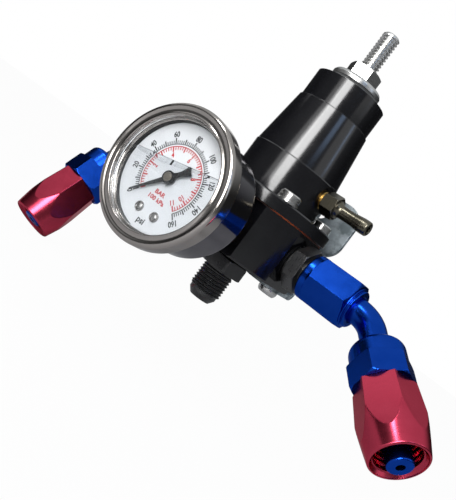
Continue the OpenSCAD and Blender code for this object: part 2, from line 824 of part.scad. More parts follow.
module dial_screws() placed() color(steel) {
  slot_w = 0.4;
  gauge_frame() for (x = [-1, 1]) translate([x * 3.8, -13.4, 0]) difference() {
    union() {
      translate([0, 0, dial_at]) cylinder(r1 = 1.7, r2 = 1.3, h = 0.9);
      translate([0, 0, movement_front + 0.1]) cylinder(r = 0.8, h = dial_at - movement_front);
    }
    translate([-3, -slot_w / 2, dial_at + 0.5]) cube([6, slot_w, 2]);
  }
}

// The pointer is drawn pointing up the dial and then turned to zero
module gauge_pointer() placed() color(rubber) {
  blade_t = 0.4;
  blade_at = dial_at + 1.1;
  tail = 7.6;
  gauge_frame() rotate([0, 0, -zero_angle]) difference() {
    union() {
      translate([0, 0, blade_at]) linear_extrude(blade_t) polygon([
        [-0.75, 0], [-0.18, pointer_len], [0.18, pointer_len], [0.75, 0]
      ]);
      translate([0, 0, blade_at]) linear_extrude(blade_t) polygon([
        [-0.9, 0], [-0.8, -4], [-1.9, -5.4], [-1.7, -tail], [0, -tail - 0.6],
        [1.7, -tail], [1.9, -5.4], [0.8, -4], [0.9, 0]
      ]);
      translate([0, 0, blade_at - 0.4]) cylinder(r = 2.4, h = blade_t + 1);
    }
    translate([0, 0, blade_at - 1]) cylinder(r = 0.8, h = 4);
  }
}

module pointer_arbor() placed() color(brass) {
  cap_at = dial_at + 2.15;
  gauge_frame() {
    translate([0, 0, movement_back - 0.4]) cylinder(r = 0.6, h = sector_at - movement_back + 0.4 + eps);
    translate([0, 0, sector_at - 0.6]) cylinder(r = pinion_r, h = 2);
    translate([0, 0, sector_at]) cylinder(r = 0.78, h = cap_at - sector_at + 0.1);
    translate([0, 0, cap_at]) cylinder(r1 = 1.7, r2 = 1.4, h = 0.35);
  }
}

// The toothed sector starts at the pinion and reaches round to the right of it
module sector_gear() placed() color(brass) {
  sweep = 64;
  lead = 6;
  gauge_frame() translate([0, sector_pivot_y, sector_at]) difference() {
    union() {
      rotate([0, 0, 90 + lead - sweep]) rotate_extrude(angle = sweep)
        translate([sector_r - 1.6, 0]) square([1.6, 0.8]);
      for (a = [90 + lead - 8, 90 + lead - sweep + 8])
        rotate([0, 0, a]) translate([0, -0.6, 0]) cube([sector_r - 1, 1.2, 0.8]);
      cylinder(r = 1.7, h = 0.8);
      translate([-tail_len, -0.8, 0]) cube([tail_len, 1.6, 0.8]);
      translate([-tail_len, 0, 0]) cylinder(r = 1.2, h = 0.8);
      translate([0, 0, movement_back - sector_at - 0.4])
        cylinder(r = 0.6, h = movement_front - movement_back + 0.9);
    }
    translate([-tail_len, 0, -1]) cylinder(r = 0.5, h = 3);
  }
}

module drive_link() placed() color(steel) {
  reach = 16.5;
  lean = 127.7;
  gauge_frame() translate([-tail_len, sector_pivot_y, sector_at]) {
    translate([0, 0, -1.2]) cylinder(r = 0.45, h = 2.2);
    translate([0, 0, -1.2]) cylinder(r = 1, h = 0.7);
    rotate([0, 0, lean]) translate([0, -0.7, -1.2]) cube([reach, 1.4, 0.7]);
  }
}

// A movement plate with pivot holes for the arbor and the sector
module movement_plate(at) {
  gauge_frame() difference() {
    union() {
      translate([-6, -16.4, at]) cube([12, 20.4, plate_t]);
      children();
    }
    translate([0, 0, at - 1]) cylinder(r = at > sector_at ? 0.83 : 0.65, h = 4);
    translate([0, sector_pivot_y, at - 1]) cylinder(r = 0.65, h = 4);
    for (x = [-1, 1]) translate([x * 3.8, -13.4, at - 1]) cylinder(r = 0.85, h = 8);
  }
}

module movement_back_plate() placed() color(brass) {
  movement_plate(movement_back - plate_t) {
    for (x = [-1, 1]) translate([x * 5, 3, movement_back - plate_t])
      cylinder(r = 0.9, h = movement_front - movement_back + plate_t);
    for (x = [-1, 1]) translate([x * 5, -15.4, movement_back - plate_t])
      cylinder(r = 0.9, h = movement_front - movement_back + plate_t);
  }
}

module movement_front_plate() placed() color(brass) {
  movement_plate(movement_front) for (x = [-1, 1]) translate([x * 3.8, -13.4, movement_front])
    cylinder(r = 1.6, h = dial_at - dial_t - movement_front);
}

// The curved pressure tube, with a foot that is brazed into the stem and a tip block
module bourdon_tube() placed() color(brass) {
  tube_arc_r = 16.5;
  start = -75;
  sweep = 235;
  foot = [2.4, 2.6, 4.8];
  tip = [3.2, 3, 5];
  let_in = 0.3;
  gauge_frame() translate([0, 0, tube_plane]) {
    rotate([0, 0, start]) rotate_extrude(angle = sweep) translate([tube_arc_r - 1, -2.2]) square([2, 4.4]);
    rotate([0, 0, start + sweep]) translate([tube_arc_r - tip[0] / 2, -let_in, -tip[2] / 2]) cube(tip);
    rotate([0, 0, start]) translate([tube_arc_r - foot[0] / 2, let_in - foot[1], -foot[2] / 2]) cube(foot);
  }
}

module fill_plug() placed() color(rubber) {
  dome = 3;
  tip = 28.2;
  gauge_frame() rotate([0, 0, 90 - plug_angle]) translate([0, 0, 57]) along_x() {
    translate([0, 0, case_r - 2]) cylinder(r = 2.55, h = tip - dome - case_r + 2);
    translate([0, 0, case_r + 0.15]) cylinder(r = 3.3, h = tip - dome - case_r - 0.15);
    translate([0, 0, tip - dome]) rotate_extrude()
      polygon(concat([[0, 0]], [for (a = [0 : arc_step : 90]) [3.3 * cos(a), dome * sin(a)]]));
  }
}

base_body();
valve_seat();
valve_disc();
lower_plate();
diaphragm();
upper_plate();
plate_nut();
regulator_spring();
spring_seat();
adjusting_screw();
jam_nut();
bonnet();
flange_screws();
flange_washers();
vacuum_nipple();
bracket();
bracket_screws();
right_adapter();
left_adapter();
return_adapter();
right_adapter_seal();
left_adapter_seal();
return_adapter_seal();
right_swivel_nut();
left_swivel_nut();
right_elbow();
left_elbow();
right_swivel_seal();
left_swivel_seal();
right_hose_body();
left_hose_body();
right_socket();
left_socket();
gauge_stem();
gauge_case();
gauge_bezel();
gauge_lens();
dial_ring();
gauge_dial();
dial_screws();
gauge_pointer();
pointer_arbor();
sector_gear();
drive_link();
movement_back_plate();
movement_front_plate();
bourdon_tube();
fill_plug();
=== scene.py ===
"""Looks of an adjustable fuel pressure regulator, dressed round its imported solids.

The solids give the sizes, the places and the joints. This script adds what they leave plain: threads,
smooth turned forms, the printed dial, the liquid in the gauge, the finishes, the light and the camera.
Lengths in the classes are millimetres in the regulator's own frame, whose origin is where its axis
crosses the fuel ports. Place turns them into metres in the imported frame.
"""

import logging
import math
from collections.abc import Callable, Sequence
from dataclasses import dataclass, field
from enum import Enum

import bmesh
import bpy
import numpy as np
from mathutils import Matrix, Vector


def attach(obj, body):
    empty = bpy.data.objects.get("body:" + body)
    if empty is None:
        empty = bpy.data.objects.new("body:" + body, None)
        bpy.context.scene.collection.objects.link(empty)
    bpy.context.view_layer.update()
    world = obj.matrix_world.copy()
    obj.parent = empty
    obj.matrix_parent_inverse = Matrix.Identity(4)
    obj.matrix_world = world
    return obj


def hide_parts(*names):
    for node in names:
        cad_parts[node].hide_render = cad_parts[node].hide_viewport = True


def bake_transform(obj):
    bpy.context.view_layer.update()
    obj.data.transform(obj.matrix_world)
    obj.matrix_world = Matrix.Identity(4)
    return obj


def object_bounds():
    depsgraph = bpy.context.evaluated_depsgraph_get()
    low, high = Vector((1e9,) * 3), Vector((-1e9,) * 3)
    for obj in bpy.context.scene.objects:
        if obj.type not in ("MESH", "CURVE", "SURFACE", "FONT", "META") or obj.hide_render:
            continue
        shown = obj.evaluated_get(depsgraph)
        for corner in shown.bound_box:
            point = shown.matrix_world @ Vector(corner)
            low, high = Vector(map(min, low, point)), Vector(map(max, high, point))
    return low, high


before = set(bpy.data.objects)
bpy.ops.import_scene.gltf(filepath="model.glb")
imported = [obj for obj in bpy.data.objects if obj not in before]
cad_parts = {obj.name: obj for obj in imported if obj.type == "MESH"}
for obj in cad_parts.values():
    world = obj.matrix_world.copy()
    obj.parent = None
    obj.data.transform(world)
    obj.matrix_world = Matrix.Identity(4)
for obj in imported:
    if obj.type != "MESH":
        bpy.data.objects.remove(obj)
CAD_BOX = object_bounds()
LOG = logging.getLogger("regulator")

IMAGE_W, IMAGE_H = 456, 500
ORIGIN_SHIFT = np.array([0.0, -31.3, -26.0])
MM = 0.001
ROOT = "regulator"
Reshape = Callable[[np.ndarray, np.ndarray, np.ndarray], np.ndarray]


class Slot(Enum):
    """The record's material slots, written beside each new piece in the calls that build it."""

    BLACK = "black_anodised"
    BLUE = "blue_anodised"
    RED = "red_anodised"
    BRIGHT = "bright_steel"
    STAINLESS = "stainless"
    NICKEL = "nickel_brass"
    LENS = "lens"
    INK = "dial_black"
    SPRING = "spring_steel"
    MEMBRANE = "membrane"


def turn_about(axis: str, degrees: float) -> np.ndarray:
    """A right-handed turn about a main axis.

    Args:
        axis: X, Y or Z.
        degrees: Angle of the turn.

    Returns:
        The 3 by 3 matrix.
    """
    return np.array(Matrix.Rotation(math.radians(degrees), 3, axis))


@dataclass(frozen=True)
class Place:
    """A local frame whose +Z is a piece's own axis, given in the regulator's frame."""

    origin: tuple[float, float, float]
    turn: np.ndarray = field(default_factory=lambda: np.eye(3))

    def to_row(self, points: np.ndarray) -> np.ndarray:
        """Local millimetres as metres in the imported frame."""
        return (points @ self.turn.T + np.array(self.origin) + ORIGIN_SHIFT) * MM

    def mapping(self) -> tuple[Vector, Vector]:
        """Location and Euler angles for a Mapping node that brings Object coordinates into this frame."""
        inverse = Matrix(self.turn.T.tolist())
        shift = inverse @ Vector((np.array(self.origin) + ORIGIN_SHIFT) * MM)
        return -shift, Vector(inverse.to_euler("XYZ"))


UPRIGHT = Place((0.0, 0.0, 0.0))
DIAL = Place((0.0, 0.0, -1.6), turn_about("X", 90))
RIGHT_PORT = Place((0.0, 0.0, 0.0), turn_about("Y", 90))
LEFT_PORT = Place((0.0, 0.0, 0.0), turn_about("Y", -90))
RETURN_PORT = Place((0.0, 0.0, 0.0), turn_about("X", 180))
NIPPLE = Place((0.0, 0.0, 27.2), turn_about("Y", 90))


def outlet(corner: float, bend: float, clock: float, side: int) -> Place:
    """The frame of a hose end, with +Z down the outlet and its origin at the elbow's corner.

    Args:
        corner: Distance of the corner from the regulator's axis.
        bend: Bend of the elbow in degrees.
        clock: Turn of the bend's plane about the port axis in degrees.
        side: 1 for the right hose end and -1 for the left one.

    Returns:
        The outlet's frame.
    """
    turn = turn_about("X", 180 + clock) @ turn_about("Z", bend) @ turn_about("Y", 90)
    if side < 0:
        turn = np.diag([-1.0, 1.0, 1.0]) @ turn @ np.diag([-1.0, 1.0, 1.0])
    return Place((side * corner, 0.0, 0.0), turn)


# Profiles and surfaces


def arc(centre: Sequence[float], radius: float, start: float, end: float, count: int = 9) -> np.ndarray:
    """Points on a circle in the plane of radius and height.

    Args:
        centre: The circle's middle.
        radius: Its radius.
        start: First angle in degrees, from the radius axis towards the height axis.
        end: Last angle in degrees.
        count: How many points.

    Returns:
        An array of points.
    """
    a = np.radians(np.linspace(start, end, count))
    return np.stack([centre[0] + radius * np.cos(a), centre[1] + radius * np.sin(a)], 1)


def rounded(points: Sequence[Sequence[float]], radius: float, count: int = 4) -> np.ndarray:
    """A closed outline with each corner cut by a parabola that leaves both sides smoothly.

    Each corner B between A and C becomes B + (1 - t)^2 p + t^2 q, where p and q lead back along the
    two sides by the radius, or by under half of a short side.

    Args:
        points: The outline's corners in order.
        radius: How far along each side a corner starts.
        count: Points on each corner.

    Returns:
        The outline's points.
    """
    b = np.asarray(points, float)
    back, on = np.roll(b, 1, 0) - b, np.roll(b, -1, 0) - b
    lengths = [np.maximum(np.linalg.norm(v, axis=1, keepdims=True), 1e-9) for v in (back, on)]
    p = back / lengths[0] * np.minimum(radius, 0.45 * lengths[0])
    q = on / lengths[1] * np.minimum(radius, 0.45 * lengths[1])
    t = np.linspace(0, 1, count)[None, :, None]
    return (b[:, None] + (1 - t) ** 2 * p[:, None] + t**2 * q[:, None]).reshape(-1, 2)


def refined(points: np.ndarray, step: float, closed: bool = True) -> np.ndarray:
    """An outline with points added so that no side is longer than a step.

    Args:
        points: The outline's points.
        step: The longest side allowed.
        closed: Whether the last point joins the first.

    Returns:
        The longer list of points.
    """
    ends = np.roll(points, -1, 0) if closed else np.concatenate([points[1:], points[-1:]])
    counts = np.maximum(np.ceil(np.linalg.norm(ends - points, axis=1) / step).astype(int), 1)
    side = np.repeat(np.arange(len(points)), counts)
    along = (np.arange(len(side)) - np.repeat(np.cumsum(counts) - counts, counts)) / counts[side]
    return points[side] + (ends - points)[side] * along[:, None]


def lathe(outline: np.ndarray, steps: int = 96, reshape: Reshape | None = None) -> np.ndarray:
    """Carries an outline of radius and height round +Z, and lets a rule change the radius.

    Args:
        outline: Points of radius and height.
        steps: Stations round the axis.
        reshape: Gives a new radius for each angle, radius and height.

    Returns:
        A grid of points, stations by outline.
    """
    a = np.linspace(0, 2 * np.pi, steps, endpoint=False)[:, None]
    angle, r, z = np.broadcast_arrays(a, outline[None, :, 0], outline[None, :, 1])
    if reshape is not None:
        r = reshape(angle, r, z)
    return np.stack([r * np.cos(angle), r * np.sin(angle), z], -1)


def hexagon(angle: np.ndarray, across: float, start: float = 0.0) -> np.ndarray:
    """Distance from the axis to a hexagon's flats at each angle.

    Args:
        angle: Angles round the axis.
        across: Width across flats.
        start: Turn of a corner from the zero angle, in radians.

    Returns:
        The distances.
    """
    sector = np.pi / 3
    return across / 2 / np.cos((angle - start) % sector - sector / 2)


def thread(angle: np.ndarray, z: np.ndarray, pitch: float, depth: float,
           ends: Sequence[float]) -> np.ndarray:
    """How far a right-hand thread is cut below its crest: a trapezium wave of height less angle.

    The cut fades over one pitch at each end.

    Args:
        angle: Angles round the axis.
        z: Heights.
        pitch: Rise of one turn.
        depth: Depth of the groove.
        ends: Lowest and highest threaded height.

    Returns:
        The depth of the cut.
    """
    phase = (z / pitch - angle / (2 * np.pi)) % 1.0
    wave = np.clip(np.abs(2 * phase - 1) * 1.5 - 0.2, 0, 1)
    fade = np.clip(np.minimum(z - ends[0], ends[1] - z) / pitch, 0, 1)
    return depth * wave * fade


def sweep(path: np.ndarray, radius: np.ndarray, up: Sequence[float], steps: int = 40) -> np.ndarray:
    """Carries a circle along a flat path, at right angles to it.

    Args:
        path: Points of the centre line.
        radius: Radius of the circle at each point.
        up: Normal of the path's plane.
        steps: Stations round the circle.

    Returns:
        A grid of points, stations by path.
    """
    along = np.gradient(path, axis=0)
    along /= np.linalg.norm(along, axis=1, keepdims=True)
    normal = np.broadcast_to(np.asarray(up, float), path.shape)
    side = np.cross(along, normal)
    a = np.linspace(0, 2 * np.pi, steps, endpoint=False)[:, None, None]
    return path[None] + radius[None, :, None] * (np.cos(a) * side[None] + np.sin(a) * normal[None])


@dataclass(frozen=True)
class Bend:
    """Two bodies that a piece lies between, with the points where the first would give way to the second.

    Start and end are points in the regulator's frame.
    """

    first: str
    second: str
    start: tuple[float, float, float]
    end: tuple[float, float, float]

    def __str__(self) -> str:
        """Names both bodies."""
        return f"{self.first} and {self.second}"

    def hold(self, piece: bpy.types.Object) -> None:
        """Bakes the piece's place into its mesh; nothing blends it between the two bodies."""
        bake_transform(piece)


class Skin:
    """A mesh gathered from grids of points, in a place's frame."""

    def __init__(self, place: Place) -> None:
        """Starts with no faces."""
        self.place = place
        self.points: list[np.ndarray] = []
        self.faces: list[np.ndarray] = []
        self.count = 0

    def grid(self, points: np.ndarray, wrap: tuple[bool, bool] = (True, True)) -> "Skin":
        """Adds a grid's four-sided faces.

        Args:
            points: Grid of points.
            wrap: Whether the first and second direction close on themselves.

        Returns:
            This skin.
        """
        rows, columns = points.shape[:2]
        index = np.arange(rows * columns).reshape(rows, columns)
        if wrap[0]:
            index = np.concatenate([index, index[:1]])
        if wrap[1]:
            index = np.concatenate([index, index[:, :1]], 1)
        quads = np.stack([index[:-1, :-1], index[1:, :-1], index[1:, 1:], index[:-1, 1:]], -1)
        self.faces.append(quads.reshape(-1, 4) + self.count)
        self.points.append(points.reshape(-1, 3))
        self.count += rows * columns
        return self

    def slabs(self, outlines: np.ndarray, low: float, high: float) -> "Skin":
        """Adds a thin closed slab on each of many four-cornered outlines.

        Args:
            outlines: Array of outlines by four corners by two.
            low: Height of the back.
            high: Height of the front.

        Returns:
            This skin.
        """
        n = len(outlines)
        heights = np.array([low, high])
        flat = np.broadcast_to(outlines[:, None], (n, 2, 4, 2))
        z = np.broadcast_to(heights[None, :, None, None], (n, 2, 4, 1))
        corners = np.array([
            [3, 2, 1, 0], [4, 5, 6, 7], [0, 1, 5, 4], [1, 2, 6, 5], [2, 3, 7, 6], [3, 0, 4, 7],
        ])
        self.faces.append((corners[None] + 8 * np.arange(n)[:, None, None]).reshape(-1, 4) + self.count)
        self.points.append(np.concatenate([flat, z], -1).reshape(-1, 3))
        self.count += 8 * n
        return self

    def build(self, name: str, body: str | Bend, slot: Slot, material: bpy.types.Material,
              stands_for: Sequence[str] = (), sharp: float = 32.0) -> bpy.types.Object:
        """Makes the mesh object, closes its poles, turns its faces outwards and parents it to its body, or
        bakes its place for a bend.

        Args:
            name: Name of the piece.
            body: The body that it moves with, or a bend, whose two bodies are only named.
            slot: The record's material slot; not used.
            material: Its finish.
            stands_for: Solids that it replaces.
            sharp: Edges bent by more degrees than this stay sharp.

        Returns:
            The object.
        """
        mesh = bpy.data.meshes.new(name)
        mesh.from_pydata(self.place.to_row(np.concatenate(self.points)), [], np.concatenate(self.faces))
        work = bmesh.new()
        work.from_mesh(mesh)
        bmesh.ops.remove_doubles(work, verts=work.verts, dist=1e-7)
        bmesh.ops.dissolve_degenerate(work, edges=work.edges, dist=1e-8)
        bmesh.ops.recalc_face_normals(work, faces=work.faces)
        work.to_mesh(mesh)
        work.free()
        return settle(mesh, name, body, material, stands_for, sharp)


def settle(mesh: bpy.types.Mesh, name: str, body: str | Bend, material: bpy.types.Material,
           stands_for: Sequence[str] = (), sharp: float = 32.0) -> bpy.types.Object:
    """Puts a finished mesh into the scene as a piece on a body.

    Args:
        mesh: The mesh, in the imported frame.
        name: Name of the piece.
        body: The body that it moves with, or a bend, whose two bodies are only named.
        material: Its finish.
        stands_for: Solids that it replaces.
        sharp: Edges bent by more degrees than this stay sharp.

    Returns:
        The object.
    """
    mesh.polygons.foreach_set("use_smooth", np.ones(len(mesh.polygons), bool))
    mesh.set_sharp_from_angle(angle=math.radians(sharp))
    mesh.materials.append(material)
    piece = bpy.data.objects.new(name, mesh)
    bpy.context.scene.collection.objects.link(piece)
    if isinstance(body, Bend):
        body.hold(piece)
    else:
        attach(piece, body)
    if stands_for:
        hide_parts(*stands_for)
    LOG.info("%s: %d faces on %s", name, len(mesh.polygons), body)
    return piece


# Finishes


class Nodes:
    """A node tree that starts empty, with short calls that add to it."""

    def __init__(self, tree: bpy.types.NodeTree) -> None:
        """Empties the tree."""
        self.tree = tree
        self.tree.nodes.clear()

    def feed(self, socket: bpy.types.NodeSocket, value: object) -> None:
        """Links an output to an input, or sets the input to a value."""
        if isinstance(value, bpy.types.NodeSocket):
            self.tree.links.new(value, socket)
        else:
            socket.default_value = value

    def add(self, kind: str, inputs: dict[object, object] | None = None,
            **settings: object) -> bpy.types.Node:
        """Adds a node.

        Args:
            kind: The node's type, without the prefix.
            inputs: A value or an output for each input.
            settings: The node's own settings.

        Returns:
            The node.
        """
        node = self.tree.nodes.new("ShaderNode" + kind)
        for key, value in settings.items():
            setattr(node, key, value)
        for key, value in (inputs or {}).items():
            self.feed(node.inputs[key], value)
        return node

    def math(self, operation: str, *values: object) -> bpy.types.NodeSocket:
        """The result of a Math node on values or outputs."""
        return self.add("Math", dict(enumerate(values)), operation=operation).outputs[0]


class Shader(Nodes):
    """A material's node tree, built from its Principled node."""

    def __init__(self, name: str) -> None:
        """Starts a material with a Principled node and an output."""
        self.material = bpy.data.materials.new(name)
        self.material.use_nodes = True
        super().__init__(self.material.node_tree)
        self.output = self.add("OutputMaterial")
        self.skin = self.add("BsdfPrincipled")
        self.feed(self.output.inputs["Surface"], self.skin.outputs[0])
        self.coords = self.add("TexCoord").outputs["Object"]

    def set(self, **values: object) -> "Shader":
        """Sets the Principled node's sockets, with spaces written as underscores."""
        for key, value in values.items():
            self.skin.inputs[key.replace("_", " ")].default_value = value
        return self

    def noise(self, scale: float, detail: float = 3.0,
              vector: bpy.types.NodeSocket | None = None) -> bpy.types.NodeSocket:
        """The value of a noise texture."""
        inputs = {"Vector": vector or self.coords, "Scale": scale, "Detail": detail, "Roughness": 0.55}
        return self.add("TexNoise", inputs).outputs["Fac"]

    def ramp(self, value: bpy.types.NodeSocket, low: float, high: float,
             to_low: float, to_high: float) -> bpy.types.NodeSocket:
        """A value mapped from one span to another and held within it."""
        inputs = {"Value": value, "From Min": low, "From Max": high, "To Min": to_low, "To Max": to_high}
        return self.add("MapRange", inputs).outputs[0]

    def blend(self, share: object, first: object, second: object) -> bpy.types.NodeSocket:
        """Two colours mixed by a share."""
        node = self.add("Mix", data_type="RGBA")
        sockets = {s.identifier: s for s in node.inputs}
        for key, value in (("Factor_Float", share), ("A_Color", first), ("B_Color", second)):
            self.feed(sockets[key], value)
        return next(s for s in node.outputs if s.identifier == "Result_Color")

    def axial(self, place: Place) -> tuple[bpy.types.NodeSocket, bpy.types.NodeSocket]:
        """Distance from a place's axis, and height along it."""
        location, angles = place.mapping()
        local = self.add("Mapping", {"Vector": self.coords, "Location": location, "Rotation": angles})
        parts = self.add("SeparateXYZ", {0: local.outputs[0]}).outputs
        squares = [self.math("MULTIPLY", part, part) for part in (parts[0], parts[1])]
        return self.math("SQRT", self.math("ADD", *squares)), parts[2]

    def turned(self, place: Place, per_metre: float) -> bpy.types.NodeSocket:
        """Fine rings left by a lathe: noise that changes only with radius and height."""
        radius, height = self.axial(place)
        vector = self.add("CombineXYZ", {0: radius, 1: height}).outputs[0]
        return self.noise(per_metre, 2.0, vector)

    def surface(self, height: bpy.types.NodeSocket, strength: float, distance: float, edge: float) -> None:
        """Gives the surface a fine relief on edges that are broken by a small radius."""
        broken = self.add("Bevel", {"Radius": edge}, samples=4).outputs[0]
        inputs = {"Height": height, "Strength": strength, "Distance": distance, "Normal": broken}
        self.into("Normal", self.add("Bump", inputs).outputs[0])

    def into(self, socket: str, value: bpy.types.NodeSocket) -> "Shader":
        """Links an output to one of the Principled node's sockets."""
        self.feed(self.skin.inputs[socket], value)
        return self


@dataclass(frozen=True)
class Metal:
    """A machined metal or a dyed anodised one, with lathe rings, faint handling marks and broken edges."""

    name: str
    colour: tuple[float, float, float]
    worn: tuple[float, float, float]
    roughness: float
    metallic: float = 1.0
    rings: float = 0.1
    ring_scale: float = 1900.0
    edge: float = 0.00018
    specular: float = 0.5
    rim: tuple[float, float, float] = (1.0, 1.0, 1.0)

    def material(self, place: Place) -> bpy.types.Material:
        """Makes the material for a piece that was turned on a place's axis.

        Args:
            place: Frame of the piece's own axis.

        Returns:
            The material.
        """
        s = Shader(self.name)
        s.set(Metallic=self.metallic, Specular_IOR_Level=self.specular, Specular_Tint=(*self.rim, 1))
        rings = s.turned(place, self.ring_scale)
        marks = s.noise(160.0, 4.0)
        grain = s.noise(5200.0, 2.0)
        share = s.ramp(marks, 0.3, 0.75, 0.0, 1.0)
        s.into("Base Color", s.blend(share, (*self.colour, 1), (*self.worn, 1)))
        uneven = s.math("ADD", s.math("MULTIPLY", rings, 0.5), s.math("MULTIPLY", marks, 0.5))
        s.into("Roughness", s.ramp(uneven, 0.25, 0.75, self.roughness * 0.78, self.roughness * 1.25))
        relief = s.math("ADD", rings, s.math("MULTIPLY", grain, 0.35))
        s.surface(relief, self.rings, 0.00002, self.edge)
        return s.material


@dataclass(frozen=True)
class Sheet:
    """Zinc-plated sheet with soft crystals and a drawn grain."""

    name: str
    colour: tuple[float, float, float]
    dull: tuple[float, float, float]

    def material(self) -> bpy.types.Material:
        """Makes the material."""
        s = Shader(self.name)
        s.set(Metallic=0.5)
        crystals = s.add("TexVoronoi", {"Vector": s.coords, "Scale": 260.0}).outputs["Color"]
        cell = s.add("SeparateColor", {0: crystals}).outputs[0]
        cloud = s.noise(150.0, 5.0)
        share = s.math("ADD", s.math("MULTIPLY", cell, 0.25), s.ramp(cloud, 0.42, 0.6, 0.0, 0.8))
        s.into("Base Color", s.blend(share, (*self.colour, 1), (*self.dull, 1)))
        s.into("Roughness", s.ramp(share, 0.0, 1.0, 0.3, 0.52))
        s.surface(s.noise(1500.0, 3.0), 0.2, 0.00003, 0.0003)
        return s.material


@dataclass(frozen=True)
class Rubber:
    """Matt moulded rubber, which can be darkened by painted shade away from a lit span along x."""

    name: str
    colour: tuple[float, float, float]
    roughness: float = 0.6
    # soiled: how far painted shade darkens the colour. clean: middle and half width, in metres along x, of
    # the stretch left unshaded.
    soiled: float = 0.0
    clean: tuple[float, float] = (0.0, 1.0)

    def material(self) -> bpy.types.Material:
        """Makes the material."""
        s = Shader(self.name)
        s.set(Metallic=0.0, Specular_IOR_Level=0.35)
        bloom = s.noise(420.0, 4.0)
        pale = tuple(0.6 * c + 0.03 for c in self.colour)
        colour = s.blend(s.ramp(bloom, 0.4, 0.8, 0.0, 0.6), (*self.colour, 1), (*pale, 1))
        # Painted shade: outside the lit span along x the colour is blended towards near black, standing in
        # for shade on the unlit edge.
        x = s.add("SeparateXYZ", {0: s.coords}).outputs[0]
        aside = s.math("ABSOLUTE", s.math("SUBTRACT", x, self.clean[0]))
        painted_shade_share = s.ramp(aside, self.clean[1] * 0.5, self.clean[1], 0.0, self.soiled)
        s.into("Base Color", s.blend(painted_shade_share, colour, (0.012, 0.008, 0.007, 1)))
        s.into("Roughness", s.ramp(bloom, 0.3, 0.7, self.roughness * 0.85, min(1.0, self.roughness * 1.2)))
        s.surface(s.noise(2600.0, 3.0), 0.25, 0.00003, 0.0001)
        return s.material


@dataclass(frozen=True)
class Paint:
    """Thin paint or ink on a flat plate, a little uneven."""

    name: str
    colour: tuple[float, float, float]
    roughness: float = 0.5
    uneven: float = 0.06
    specular: float = 0.2

    def material(self) -> bpy.types.Material:
        """Makes the material."""
        s = Shader(self.name)
        s.set(Metallic=0.0, Specular_IOR_Level=self.specular)
        cloud = s.noise(300.0, 4.0)
        other = tuple(min(1.0, c * (1 - self.uneven) + 0.25 * self.uneven) for c in self.colour)
        s.into("Base Color", s.blend(s.ramp(cloud, 0.3, 0.7, 0.0, 1.0), (*self.colour, 1), (*other, 1)))
        s.into("Roughness", s.ramp(cloud, 0.3, 0.7, self.roughness * 0.85, self.roughness * 1.15))
        s.surface(s.noise(4000.0, 2.0), 0.1, 0.00001, 0.00003)
        return s.material


@dataclass(frozen=True)
class Clear:
    """A clear pane or liquid that lets the lamps through to what is behind it."""

    name: str
    tint: tuple[float, float, float]
    ior: float
    roughness: float = 0.0

    def material(self) -> bpy.types.Material:
        """Makes the material."""
        s = Shader(self.name)
        s.set(Base_Color=(*self.tint, 1), Transmission_Weight=1.0, IOR=self.ior, Roughness=self.roughness)
        smear = s.noise(70.0, 3.0)
        s.surface(smear, 0.02, 0.00002, 0.00002)
        rays = s.add("LightPath").outputs
        lit = s.math("MAXIMUM", rays["Is Shadow Ray"], rays["Is Diffuse Ray"])
        clear = s.add("BsdfTransparent", {"Color": (*self.tint, 1)})
        mix = s.add("MixShader", {0: lit, 1: s.skin.outputs[0], 2: clear.outputs[0]})
        s.feed(s.output.inputs["Surface"], mix.outputs[0])
        return s.material


BLACK = Metal("black_anodised", (0.0025, 0.0025, 0.0035), (0.004, 0.004, 0.005), 0.15, metallic=0.0,
              specular=0.7)
FITTING = Metal("black_fitting", (0.008, 0.008, 0.009), (0.016, 0.016, 0.016), 0.3, metallic=0.0,
                specular=0.9)
BLUE = Metal("blue_anodised", (0.005, 0.05, 0.38), (0.008, 0.06, 0.42), 0.23, rim=(0.51, 0.6, 0.9))
RED = Metal("red_anodised", (0.5, 0.045, 0.085), (0.55, 0.055, 0.1), 0.22, rim=(0.85, 0.56, 0.58))
BRIGHT = Metal("bright_steel", (0.66, 0.66, 0.65), (0.56, 0.55, 0.53), 0.24)
PLAIN = Metal("plain_steel", (0.5, 0.5, 0.5), (0.42, 0.42, 0.41), 0.35)
SPRING = Metal("spring_steel", (0.24, 0.25, 0.27), (0.18, 0.18, 0.19), 0.38)
STAINLESS = Metal("stainless", (0.38, 0.355, 0.335), (0.35, 0.325, 0.305), 0.13, rings=0.015,
                  ring_scale=2600.0)
POLISHED = Metal("polished_case", (0.15, 0.145, 0.16), (0.13, 0.125, 0.14), 0.1, rings=0.02,
                 ring_scale=2600.0)
BARE = Metal("bare_aluminium", (0.6, 0.6, 0.59), (0.52, 0.52, 0.51), 0.3)
BRASS = Metal("brass", (0.62, 0.44, 0.17), (0.5, 0.34, 0.13), 0.3)
ARBOR = Metal("pointer_arbor", (0.3, 0.27, 0.23), (0.22, 0.19, 0.16), 0.35)
RIVET = Metal("dial_rivet", (0.36, 0.35, 0.34), (0.28, 0.27, 0.26), 0.28)
NICKEL = Metal("nickel_brass", (0.14, 0.13, 0.1), (0.1, 0.09, 0.065), 0.24)
GOLD = Metal("bare_brass_thread", (0.75, 0.52, 0.18), (0.6, 0.4, 0.13), 0.25)
ZINC = Sheet("zinc_plate", (0.6, 0.67, 0.7), (0.13, 0.16, 0.17))
RUBBER = Rubber("black_rubber", (0.012, 0.012, 0.012))
# The membrane's edge is left lit only near x = 0.021 m; elsewhere painted shade darkens it towards near
# black.
MEMBRANE = Rubber("membrane", (0.62, 0.12, 0.035), 0.5, soiled=0.94, clean=(0.021, 0.0065))
DIAL_PAINT = Paint("dial_white", (0.68, 0.68, 0.7))
DIAL_BLACK = Paint("dial_black", (0.006, 0.006, 0.007), 0.55)
RED_INK = Paint("red_ink", (0.48, 0.006, 0.012), 0.55)
LENS = Clear("lens", (0.97, 0.98, 0.98), 1.45)
LIQUID = Clear("gauge_liquid", (0.96, 0.965, 0.97), 1.47)
MENISCUS = Clear("gauge_liquid_edge", (0.86, 0.87, 0.88), 1.2)


